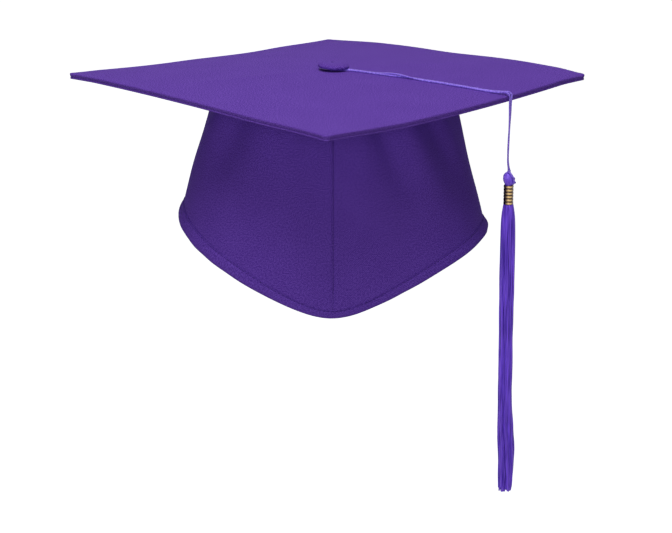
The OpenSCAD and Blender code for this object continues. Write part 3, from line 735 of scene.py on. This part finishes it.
upper, lower = tip_points(0), tip_points(CLOTH_T)
count = upper[..., 0].size
index = np.arange(count).reshape(TIP_RINGS, -1)
faces = quads(index) + quads(index[::-1] + count) + quads(np.stack([index[-1], index[-1] + count]))
faces += quads(np.stack([index[0] + count, index[0]]))
tip = piece("crown_tip_cloth", np.concatenate([upper.reshape(-1, 3), lower.reshape(-1, 3)]), faces,
            lining_cloth, np.concatenate([upper[..., :2].reshape(-1, 2), lower[..., :2].reshape(-1, 2)]))
settle(tip, "cap", "stiffening", "crown_tip")
print("crown tip has", len(tip.data.polygons), "faces")

# %% [markdown]
# ## The hem
# The rim is turned up inside and stitched, which leaves a channel for the elastic. At the temples
# the channel stands away from the wall, and at the back the elastic gathers it. It is made as one
# folded section, given by a few points and their distance from the wall, swept round the rim.

# %% Section of the hem, swept round the rim
# (outwards at the front, extra outwards at the temples, height above the rim), from the stitches
# down, round the fold and up the inner leaf
SECTION = [(0.05, 0, 9.2), (0.6, 0, 9.05), (0.62, 0, 8.75), (0.3, 0.1, 8.35), (0.55, 0.25, 7.9),
           (0.75, 0.6, 6.6), (0.8, 1.1, 5), (0.72, 1.5, 3.4), (0.6, 1.6, 2), (0.45, 1.5, 0.9), (0.05, 1.3, 0.15), (-0.5, 1, -0.3),
           (-1.2, 0.7, -0.45), (-2, 0.4, -0.4), (-2.7, 0.2, 0), (-3.1, 0.1, 0.8), (-3.2, 0, 2.4),
           (-3.15, 0, 5), (-3.05, 0, 7.5), (-2.9, 0, 9)]


def hem_share(th):
    """The hem's height as a share of its full height: it narrows towards the front peak."""
    at = from_front(th)
    full = np.where(at > 0, 0.84, 1.02)
    return mix(0.46, full, smooth(abs(at) / 44))


def temple(th):
    """1 at the temples, 0 at the front and back."""
    return smooth((abs(np.cos(np.radians(th))) - 0.55) / 0.4)


def hem_points(th, shrink):
    """Rows of the hem's section at each th, shrink millimetres inside its outer face."""
    out, flare, up = np.array(SECTION).T
    tangent = np.gradient(np.stack([out, up], -1), axis=0)
    inward = np.stack([tangent[:, 1], -tangent[:, 0]], -1) / np.linalg.norm(tangent, axis=1)[:, None]
    out, up = out + inward[:, 0] * shrink, up + inward[:, 1] * shrink
    th = th[:, None]
    up = np.where(up[None] > 1, 1 + (up[None] - 1) * hem_share(th), up[None])
    v = 1 - up / wall_height(th)
    open_out = (0.1 + 0.9 * temple(th)) * flare[None]
    waves = 0.15 * np.sin(np.radians(from_front(th)) * 21 + 2 * np.sin(np.radians(th) * 5)) * smooth((9 - up) / 5)
    return wall(th, v, out[None] + open_out + folds(th, np.minimum(v, 1)) + waves)


for side, first, last, cloth in (("left", 90, 270, left_cloth), ("right", 270, 450, right_cloth)):
    th = columns(first, last, 230)
    outer, inner = hem_points(th, 0), hem_points(th, CLOTH_T)
    uv = np.stack(np.broadcast_arrays(np.radians(from_front(th))[:, None] * 95,
                                      np.cumsum([0.9] * len(SECTION))[None]), -1)
    hem = shell("hem_band_" + side + "_cloth", outer, inner, cloth, uv)
    settle(hem, "cap", "cap_cloth", "hem_band_" + side)
    print(side, "hem", len(hem.data.polygons), "faces")

# %% [markdown]
# ## Stitches
# Every visible seam is a row of small raised stitches. Modelling them one by one would be tedious
# and drawing them in a material would leave them flat, so a Geometry Nodes tree walks along a line,
# sets a stitch every few millimetres and turns each one along the seam. The tree is built once and
# used for the hem, the front and back seams, the board's edge and the seam under the board.

# %% Geometry Nodes tree: a row of stitches along a line
stitching, given, given_out = group_tree(
    "stitch row",
    {"Geometry": ("NodeSocketGeometry", None), "Spacing": (FLOAT, 0.0026), "Length": (FLOAT, 0.0018),
     "Thickness": (FLOAT, 0.0004), "Seed": ("NodeSocketInt", 7), "Thread": ("NodeSocketMaterial", None)},
    {"Geometry": "NodeSocketGeometry"}, "GeometryNodeTree")
line = add(stitching, "GeometryNodeMeshToCurve", {0: given.outputs["Geometry"]})
dots = add(stitching, "GeometryNodeCurveToPoints", {0: line.outputs[0], "Length": given.outputs["Spacing"]},
           mode="LENGTH")
lie = add(stitching, "FunctionNodeAlignRotationToVector", {"Vector": dots.outputs["Tangent"]}, axis="Z")
one = add(stitching, "GeometryNodeMeshUVSphere", {"Segments": 6, "Rings": 5, "Radius": 0.5})
size = add(stitching, "ShaderNodeCombineXYZ", {0: given.outputs["Thickness"], 1: given.outputs["Thickness"],
                                               2: given.outputs["Length"]})
vary = add(stitching, "FunctionNodeRandomValue", {"Seed": given.outputs["Seed"]}, data_type="FLOAT")
vary.inputs[2].default_value, vary.inputs[3].default_value = 0.85, 1.1
scale = add(stitching, "ShaderNodeVectorMath", {0: size.outputs[0]}, operation="SCALE")
stitching.links.new(vary.outputs[1], scale.inputs["Scale"])
sewn = add(stitching, "GeometryNodeInstanceOnPoints",
           {"Points": dots.outputs[0], "Instance": one.outputs[0], "Rotation": lie.outputs[0],
            "Scale": scale.outputs[0]})
solid = add(stitching, "GeometryNodeRealizeInstances", {0: sewn.outputs[0]})
soft = add(stitching, "GeometryNodeSetShadeSmooth", {0: solid.outputs[0]})
dyed = add(stitching, "GeometryNodeSetMaterial", {0: soft.outputs[0], "Material": given.outputs["Thread"]})
stitching.links.new(dyed.outputs[0], given_out.inputs[0])


def grown(name, base, tree, values, material):
    """Runs a Geometry Nodes tree on a base mesh and keeps the result as a plain mesh."""
    holder = bpy.data.objects.new(name + "_base", base)
    scene.collection.objects.link(holder)
    modifier = holder.modifiers.new("grow", "NODES")
    modifier.node_group = tree
    for item in tree.interface.items_tree:
        if item.item_type == "SOCKET" and item.in_out == "INPUT" and item.name in values:
            modifier[item.identifier] = values[item.name]
    bpy.context.view_layer.update()
    graph = bpy.context.evaluated_depsgraph_get()
    mesh = bpy.data.meshes.new_from_object(holder.evaluated_get(graph), depsgraph=graph)
    bpy.data.objects.remove(holder)
    mesh.name = name
    mesh.materials.clear()
    mesh.materials.append(material)
    mesh.polygons.foreach_set("material_index", [0] * len(mesh.polygons))
    made = bpy.data.objects.new(name, mesh)
    scene.collection.objects.link(made)
    return made


def stitch_row(name, lines, body, slot, **values):
    """Stitches along one or more lines of points in millimetres."""
    base = bpy.data.meshes.new(name + "_line")
    points, edges = [], []
    for line_points in lines:
        start = len(points)
        points += (np.asarray(line_points) * MM).tolist()
        edges += [(k, k + 1) for k in range(start, len(points) - 1)]
    base.from_pydata(points, edges, [])
    made = grown(name, base, stitching, {"Thread": sewing_thread, **values}, sewing_thread)
    settle(made, body, slot)
    print(name, len(made.data.polygons), "faces")
    return made


# %% Rows of stitches on the crown
th = np.linspace(90.6, 449.4, 700)
hem_v = 1 - (1 + 7.35 * hem_share(th)) / wall_height(th)
outside = wall(th, hem_v, folds(th, hem_v) + 0.38 + 0.05 * temple(th))
inside_v = 1 - (1 + 6.9 * hem_share(th)) / wall_height(th)
inside = wall(th, inside_v, folds(th, inside_v) - 3.12)
stitch_row("hem_stitches", [outside, inside], "cap", "cap_cloth", Spacing=0.0028, Length=0.0019,
           Thickness=0.00042)
v = np.linspace(0.02, 0.93, 90)
seams = [wall(270, v, folds(270, v) + 0.02), wall(90, v, folds(90, v) + 0.02)]
stitch_row("seam_stitches", seams, "cap", "cap_cloth", Spacing=0.002, Length=0.0019, Thickness=0.00036)
v = np.linspace(0.04, 0.9, 90)
tape_edges = [wall(middle + side, v, folds(middle + side, v) + LINING_BACK - 0.72)
              for middle in SEAMS for side in (-3.4, 3.4)]
stitch_row("tape_stitches", tape_edges, "cap", "cap_cloth", Spacing=0.003, Length=0.002, Thickness=0.0004)
th = np.linspace(0, 360, 500)
join = wall(th, 0.012, folds(th, 0.012) + 0.35)
stitch_row("crown_join_stitches", [join], "cap", "cap_cloth", Spacing=0.0036, Length=0.0022, Thickness=0.0006)

# %% Slip stitches round the board's underside
def square_line(half, corner, z, steps=60):
    """Points once round a rounded square."""
    ab, _ = square_grid(half, corner, steps)
    index = np.arange(ab[..., 0].size).reshape(ab.shape[:2])
    ring = ab.reshape(-1, 2)[border(index)]
    return to_row(np.concatenate([ring, ring[:1]]), z)


stitch_row("board_edge_stitches", [square_line(HALF - 3.6, CORNER_R, -3.72)], "cap", "cap_cloth",
           Spacing=0.0062, Length=0.0022, Thickness=0.00045)

# %% [markdown]
# ## The covered button
# A disc of the same cloth pulled over a domed shell, gathered behind it. The cloth is thickest where
# it turns the rim, so the profile is a rounded rim that bulges a little, and the radius wavers as
# it does on a real one. A needle has gone through its middle and left a dot.

# %% Button cover
neck_top = CAP_H + 1.8
BUTTON_R, BUTTON_TOP = 10.25, 3.0      # its radius, and the height of its middle over the neck
DRAWN_IN = -0.55                        # the cloth hangs this far below the neck, onto the cord
rim_turn = [(BUTTON_R - 1.6 + 1.6 * math.cos(a), 1.0 + 1.5 * math.sin(a)) for a in np.radians(range(-75, 76, 15))]
dome = [(r, BUTTON_TOP - 0.35 * (r / 8.7) ** 2.4) for r in (7.8, 6.6, 5.4, 4, 2.6, 1.4, 0.7, 0.3, 0)]
gathers = [(3.2, 0.15), (4.6, -0.02), (6.2, DRAWN_IN + 0.35), (7.6, DRAWN_IN + 0.08)]
inner = [(0, 2.2), (2, 2.2), (5, 2.05), (7.6, 1.75), (8.7, 1.2), (8.8, 0.7), (8, 0.35), (6, 0.3), (3.2, 0.3)]
profile = [(r, z + neck_top) for r, z in gathers + rim_turn + dome + inner]
wobble = lambda a: 1 + 0.006 * np.sin(3 * a + 1) + 0.004 * np.sin(7 * a) + 0.003 * np.sin(19 * a + 2)
button = spun("button_cloth", profile + profile[:1], board_cloth, steps=120, shape=wobble)
layer = button.data.uv_layers.new(name="cloth")
corner = np.zeros(len(button.data.loops), int)
button.data.loops.foreach_get("vertex_index", corner)
place = np.array([v.co for v in button.data.vertices]) / MM
layer.data.foreach_set("uv", (place[:, :2] + place[:, 2:] * 0.7)[corner].ravel())
place[:, 2] -= 0.06 * place[:, 0]
button.data.vertices.foreach_set("co", (place * MM).ravel())
settle(button, "button", "cap_cloth", "button_cover")
stitch_row("button_needle_mark", [[(-0.9, 1.6, neck_top + BUTTON_TOP + 0.1), (-0.1, 1.4, neck_top + BUTTON_TOP + 0.1)]],
           "button", "cap_cloth", Spacing=0.0007, Length=0.0009, Thickness=0.0005)
for node in ("button_shell", "button_back", "button_shank", "button_washer"):
    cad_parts[node].data.materials.clear()
    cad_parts[node].data.materials.append(steel)
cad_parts["elastic_band"].data.materials.clear()
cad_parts["elastic_band"].data.materials.append(elastic)
print("button has", len(button.data.polygons), "faces")

# %% [markdown]
# ## The tassel
# Some ninety rayon threads are folded over a short loop of cord, bound under the fold and hidden
# there by a ribbed brass band. Below it they hang free, in a few loose clumps, and end raggedly.
# Hair particles would give thin flat lines, so a Geometry Nodes tree sets the threads out as a
# sunflower sets its seeds, which packs a round bundle evenly, and lets each one hang on its own
# slightly wandering line.

# %% Geometry Nodes tree: a skirt of hanging threads
skirting, given, given_out = group_tree(
    "thread skirt",
    {"Geometry": ("NodeSocketGeometry", None), "Threads": ("NodeSocketInt", 90), "Radius": (FLOAT, 0.0046),
     "Length": (FLOAT, 0.19), "Thickness": (FLOAT, 0.001), "Ragged": (FLOAT, 0.03), "Wander": (FLOAT, 0.0012),
     "Drift": (FLOAT, 0.002), "Top": (VECTOR, None), "Seed": ("NodeSocketInt", 3),
     "Rayon": ("NodeSocketMaterial", None)},
    {"Geometry": "NodeSocketGeometry"}, "GeometryNodeTree")
number = add(skirting, "GeometryNodeInputIndex").outputs[0]
share = maths(skirting, "DIVIDE", maths(skirting, "ADD", number, 0.5), given.outputs["Threads"])
ring = maths(skirting, "MULTIPLY", maths(skirting, "SQRT", share), given.outputs["Radius"])
round_by = maths(skirting, "MULTIPLY", number, math.pi * (3 - math.sqrt(5)))
spot = add(skirting, "ShaderNodeCombineXYZ", {0: maths(skirting, "MULTIPLY", ring, maths(skirting, "COSINE", round_by)),
                                              1: maths(skirting, "MULTIPLY", ring, maths(skirting, "SINE", round_by))})
seeds = add(skirting, "GeometryNodePoints", {"Count": given.outputs["Threads"], "Position": spot.outputs[0]})
lot = add(skirting, "FunctionNodeRandomValue", {"Seed": given.outputs["Seed"]}, data_type="FLOAT")
tagged = add(skirting, "GeometryNodeStoreNamedAttribute", {0: seeds.outputs[0], "Name": "lot"},
             data_type="FLOAT", domain="POINT")
skirting.links.new(lot.outputs[1], tagged.inputs["Value"])
rooted = add(skirting, "GeometryNodeStoreNamedAttribute", {0: tagged.outputs[0], "Name": "root", "Value": spot.outputs[0]},
             data_type="FLOAT_VECTOR", domain="POINT")
straight = add(skirting, "GeometryNodeCurvePrimitiveLine", {"Start": (0, 0, 0), "End": (0, 0, -1)})
beads = add(skirting, "GeometryNodeResampleCurve", {0: straight.outputs[0], "Count": 56})
hung = add(skirting, "GeometryNodeInstanceOnPoints", {"Points": rooted.outputs[0], "Instance": beads.outputs[0]})
loose = add(skirting, "GeometryNodeRealizeInstances", {0: hung.outputs[0]})
down = add(skirting, "GeometryNodeSplineParameter").outputs["Factor"]
own = add(skirting, "GeometryNodeInputNamedAttribute", {"Name": "lot"}, data_type="FLOAT").outputs[0]
root = add(skirting, "GeometryNodeInputNamedAttribute", {"Name": "root"}, data_type="FLOAT_VECTOR").outputs[0]
root_xyz = add(skirting, "ShaderNodeSeparateXYZ", {0: root})


def curve_of(tree, value, points):
    """A Float Curve node through points, of a value from 0 to 1."""
    node = add(tree, "ShaderNodeFloatCurve", {"Value": value})
    shape = node.mapping.curves[0]
    while len(shape.points) < len(points):
        shape.points.new(0.5, 0.5)
    for dot, (px, py) in zip(shape.points, points):
        dot.location = (px, py)
    node.mapping.update()
    return node.outputs[0]


# share of the full radius down the skirt, then its sideways drift
swell = curve_of(skirting, down, [(0, 0.5), (0.02, 0.64), (0.08, 0.84), (0.25, 0.9), (0.5, 0.86), (0.75, 0.9), (0.9, 1), (1, 0.84)])
lean = curve_of(skirting, down, [(0, 0.0), (0.3, 0.1), (0.6, 0.2), (0.8, 0.55), (0.92, 1), (1, 0.8)])
clump = add(skirting, "ShaderNodeCombineXYZ", {0: maths(skirting, "MULTIPLY", root_xyz.outputs[0], 330.0),
                                               1: maths(skirting, "MULTIPLY", root_xyz.outputs[1], 330.0),
                                               2: maths(skirting, "MULTIPLY", down, 3.2)})
flock = add(skirting, "ShaderNodeTexNoise", {"Vector": clump.outputs[0], "Scale": 1.0, "Detail": 1.0})
single = add(skirting, "ShaderNodeCombineXYZ", {0: maths(skirting, "MULTIPLY", own, 91.0), 1: maths(skirting, "MULTIPLY", own, 37.0),
                                                2: maths(skirting, "MULTIPLY", down, 6.0)})
stray = add(skirting, "ShaderNodeTexNoise", {"Vector": single.outputs[0], "Scale": 1.0, "Detail": 1.0})
both = add(skirting, "ShaderNodeVectorMath", {0: flock.outputs["Color"], 1: stray.outputs["Color"]}, operation="ADD")
centred = add(skirting, "ShaderNodeVectorMath", {0: both.outputs[0], 1: (1.0, 1.0, 1.0)}, operation="SUBTRACT")
freed = maths(skirting, "MULTIPLY", given.outputs["Wander"], maths(skirting, "POWER", down, 0.7))
wander = add(skirting, "ShaderNodeVectorMath", {0: centred.outputs[0]}, operation="SCALE")
skirting.links.new(freed, wander.inputs["Scale"])
wander_xyz = add(skirting, "ShaderNodeSeparateXYZ", {0: wander.outputs[0]})
short = maths(skirting, "SUBTRACT", 1.0, maths(skirting, "MULTIPLY", maths(skirting, "POWER", own, 1.6), given.outputs["Ragged"]))
reach = maths(skirting, "MULTIPLY", maths(skirting, "MULTIPLY", down, given.outputs["Length"]), short)
x = maths(skirting, "ADD", maths(skirting, "MULTIPLY", root_xyz.outputs[0], swell), wander_xyz.outputs[0])
x = maths(skirting, "ADD", x, maths(skirting, "MULTIPLY", lean, given.outputs["Drift"]))
y = maths(skirting, "ADD", maths(skirting, "MULTIPLY", root_xyz.outputs[1], swell), wander_xyz.outputs[1])
fall = add(skirting, "ShaderNodeCombineXYZ", {0: x, 1: y, 2: maths(skirting, "MULTIPLY", reach, -1.0)})
placed = add(skirting, "ShaderNodeVectorMath", {0: fall.outputs[0], 1: given.outputs["Top"]}, operation="ADD")
draped = add(skirting, "GeometryNodeSetPosition", {0: loose.outputs[0], "Position": placed.outputs[0]})
outline = add(skirting, "GeometryNodeCurvePrimitiveCircle", {"Resolution": 7})
skirting.links.new(maths(skirting, "MULTIPLY", given.outputs["Thickness"], 0.5), outline.inputs["Radius"])
threads = add(skirting, "GeometryNodeCurveToMesh", {"Curve": draped.outputs[0], "Profile Curve": outline.outputs[0],
                                                    "Fill Caps": True})
soft = add(skirting, "GeometryNodeSetShadeSmooth", {0: threads.outputs[0]})
solid = add(skirting, "GeometryNodeRealizeInstances", {0: soft.outputs[0]})
dyed = add(skirting, "GeometryNodeSetMaterial", {0: solid.outputs[0], "Material": given.outputs["Rayon"]})
skirting.links.new(dyed.outputs[0], given_out.inputs[0])

# %% The skirt
band_low, band_high = (np.array(c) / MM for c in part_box("tassel_band"))
skirt_low, _ = (np.array(c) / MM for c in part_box("tassel_skirt"))
axis_x, axis_y = EDGE_X, EDGE_Y
skirt_top = np.array((axis_x, axis_y, band_low[2] + 1.5))
skirt_length = (skirt_top[2] - skirt_low[2] + 3.0) * MM
empty = bpy.data.meshes.new("skirt_base")
empty.from_pydata([(0, 0, 0)], [], [])
skirt = grown("tassel_threads", empty, skirting,
              {"Threads": 96, "Radius": 0.0051, "Length": skirt_length, "Thickness": 0.00105, "Ragged": 0.035,
               "Wander": 0.0025, "Drift": 0.002, "Top": (skirt_top * MM).tolist(), "Seed": 3, "Rayon": skirt_rayon},
              skirt_rayon)
settle(skirt, "tassel", "tassel_thread", "tassel_skirt")
print("skirt of", len(skirt.data.polygons), "faces,", round(skirt_length * 1000), "mm long")

# %% [markdown]
# ## Band, head and knot
# The band is a strip of thin brass with pressed ribs, rolled round the binding until its ends meet.
# It is a profile turned almost all the way round, which leaves the slit at the back. Above it the
# threads fold over in one smooth lobe, and the cord's two ends pass round it: one close on the
# left, the other down the right side to the small knot that stops it.

# %% Ribbed brass band
RIBS, BAND_R = 6, 3.25
band_h = band_high[2] - band_low[2]
pitch = band_h / RIBS
rib = [(BAND_R - 0.42 * abs(t) ** 7 - 0.1 * t * t, (t + 1) / 2 * pitch) for t in np.linspace(-0.98, 0.98, 16)]
outer = [(r, z + n * pitch) for n in range(RIBS) for r, z in rib]
outline = np.array([(BAND_R - 0.6, 0)] + outer + [(BAND_R - 0.6, band_h), (BAND_R - 0.75, band_h), (BAND_R - 0.75, 0)])
turn = np.radians(np.linspace(92, 448, 110))
points = np.stack([outline[None, :, 0] * np.cos(turn)[:, None] + axis_x,
                   outline[None, :, 0] * np.sin(turn)[:, None] + axis_y,
                   np.broadcast_to(outline[:, 1] + band_low[2], (len(turn), len(outline)))], -1)
index = np.arange(points[..., 0].size).reshape(len(turn), -1)
faces = quads(np.concatenate([index, index[:, :1]], 1)) + [index[0].tolist(), index[-1, ::-1].tolist()]
uv = np.stack(np.broadcast_arrays(np.linspace(0, 1, len(turn))[:, None], outline[None, :, 1] / pitch), -1)
band = piece("tassel_brass_band", points, faces, brass, uv)
settle(band, "tassel", "band_brass", "tassel_band")

# %% Head of folded threads
head_z = band_high[2]
lobe = [(0, -1.5), (2.3, -1.5), (2.45, 0), (2.8, 0.9), (3.2, 2), (3.4, 3.2), (3.35, 4.4), (3, 5.5),
        (2.35, 6.6), (1.4, 7.4), (0.5, 7.75), (0, 7.8)]
lobe = along([(r, 0, z) for r, z in lobe], 0.25)[:, [0, 2]]
flutes = lambda a: 1 + 0.02 * np.cos(13 * a) + 0.012 * np.cos(29 * a + 1)
# the head takes the lighter rayon, with painted light in its colour
head = spun("tassel_head_threads", lobe + (0, head_z), lit_head_rayon, steps=96, shape=flutes)
place = np.array([v.co for v in head.data.vertices]) / MM
rise = (place[:, 2] - head_z) / 7.5
place[:, 0] = place[:, 0] * (1 - 0.1 * smooth(rise)) + axis_x - 0.75 * smooth(rise * 1.2)
place[:, 1] = place[:, 1] * 0.86 + axis_y
head.data.vertices.foreach_set("co", (place * MM).ravel())
settle(head, "tassel", "tassel_thread", "tassel_head")

# %% Cord round the head, and its stopper knot
def from_head(points):
    return np.array(points, float) + (axis_x, axis_y, head_z)


right_side = along(from_head([(-0.1, -0.3, 8.4), (0.2, -0.9, 8.3), (0.9, -1.6, 7.7), (1.9, -2.2, 6.3),
                              (2.7, -2.3, 4.8), (3.1, -2, 3.3), (3.2, -1.4, 1.9), (2.8, -0.7, 0.5)]), 0.2)
left_side = along(from_head([(-0.2, -0.3, 8.4), (-0.8, -0.6, 8.3), (-1.8, -0.6, 7.8), (-2.7, 0, 6.7),
                             (-3.1, 0.9, 5.2), (-2.9, 1.6, 3.4), (-2.4, 1.8, 1.6), (-1.8, 1.5, 0.2)]), 0.2)
curl = along(from_head([(2.2, -2.9, 5.6), (3, -3, 5.3), (3.5, -2.6, 4.6), (3.3, -2.2, 3.8), (3, -2.6, 3.2),
                        (3.4, -3, 2.7), (4, -2.7, 2.2), (4, -2, 1.6), (3.4, -1.6, 1.3)]), 0.2)
loops = [tube("head_cord_right", right_side, 1.4, cord_rayon, plies=3, pitch=5),
         tube("head_cord_left", left_side, 1.15, cord_rayon, plies=3, pitch=5),
         tube("stopper_knot", curl, 0.95, cord_rayon, plies=3, pitch=5)]
settle(loops[0], "tassel", "cord", "tassel_head_loop")
settle(loops[1], "tassel", "cord")
settle(loops[2], "tassel", "cord")
turns = [knot_at + (0.75 * math.cos(a), 0.95 * math.sin(a), 0.42 * a / math.pi - 0.5)
         for a in np.linspace(-0.3 * math.pi, 2.2 * math.pi, 26)]
knot = tube("cord_knot", along(turns, 0.2), 0.95, cord_rayon, plies=3, pitch=5)
settle(knot, "knot", "cord", "tassel_knot")
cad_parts["tassel_binding"].data.materials.clear()
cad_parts["tassel_binding"].data.materials.append(skirt_rayon)
print("tassel head has", sum(len(o.data.polygons) for o in loops) + len(head.data.polygons), "faces")

# %% [markdown]
# ## Studio
# The cap is held up as if on a head, over a white floor far below, in soft white light: one wide
# lamp above and in front, and a bright room all round. The world is white for the camera and for
# reflections, and dimmer for the light that it throws on the cloth.

# %% Floor, lights and world
FLOOR_DROP = 0.9
floor_mesh = bpy.data.meshes.new("floor")
floor_mesh.from_pydata([(-30, -30, -FLOOR_DROP), (30, -30, -FLOOR_DROP), (30, 30, -FLOOR_DROP), (-30, 30, -FLOOR_DROP)],
                       [], [(0, 1, 2, 3)])
floor = bpy.data.objects.new("floor", floor_mesh)
scene.collection.objects.link(floor)
floor_paint, tree, shader = base_material("floor_white", roughness=0.9)
shader.inputs["Base Color"].default_value = (0.8, 0.8, 0.8, 1)
shader.inputs["Emission Color"].default_value = (1, 1, 1, 1)
path = add(tree, "ShaderNodeLightPath")
seen = maths(tree, "MAXIMUM", path.outputs["Is Camera Ray"], path.outputs["Is Glossy Ray"])
seen = maths(tree, "MAXIMUM", seen, path.outputs["Is Transmission Ray"])
tree.links.new(maths(tree, "MULTIPLY", seen, 0.92), shader.inputs["Emission Strength"])
under = add(tree, "ShaderNodeNewGeometry").outputs["Backfacing"]
clear = add(tree, "ShaderNodeBsdfTransparent")
either = add(tree, "ShaderNodeMixShader", {0: under, 1: shader.outputs[0], 2: clear.outputs[0]})
tree.links.new(either.outputs[0], tree.nodes["Material Output"].inputs[0])
floor_mesh.materials.append(floor_paint)

world = bpy.data.worlds.new("room")
scene.world = world
world.use_nodes = True
tree = world.node_tree
path = add(tree, "ShaderNodeLightPath")
seen = maths(tree, "MAXIMUM", path.outputs["Is Camera Ray"], path.outputs["Is Glossy Ray"])
seen = maths(tree, "MAXIMUM", seen, path.outputs["Is Transmission Ray"])
room = tree.nodes["Background"]
room.inputs["Color"].default_value = (1, 1, 1, 1)
ROOM_LIGHT = 0.12
tree.links.new(maths(tree, "MULTIPLY_ADD", seen, 1 - ROOM_LIGHT, ROOM_LIGHT), room.inputs["Strength"])


def lamp(name, at, towards, size, power):
    """A square area lamp, in metres and watts."""
    light = bpy.data.lights.new(name, "AREA")
    light.size = size
    light.energy = power
    made = bpy.data.objects.new(name, light)
    made.location = at
    made.rotation_euler = (Vector(towards) - Vector(at)).to_track_quat("-Z", "Y").to_euler()
    scene.collection.objects.link(made)


lamp("key", (-0.15, -0.5, 1.5), (0, 0, 0), 1.0, 17.5)
lamp("front", (-0.8, -2.2, 0.4), (0, 0, 0), 1.2, 5.5)
lamp("glint", (0.05, -2.0, 0.42), (0.1, 0, 0), 0.5, 6)
print("lamps and floor are set")
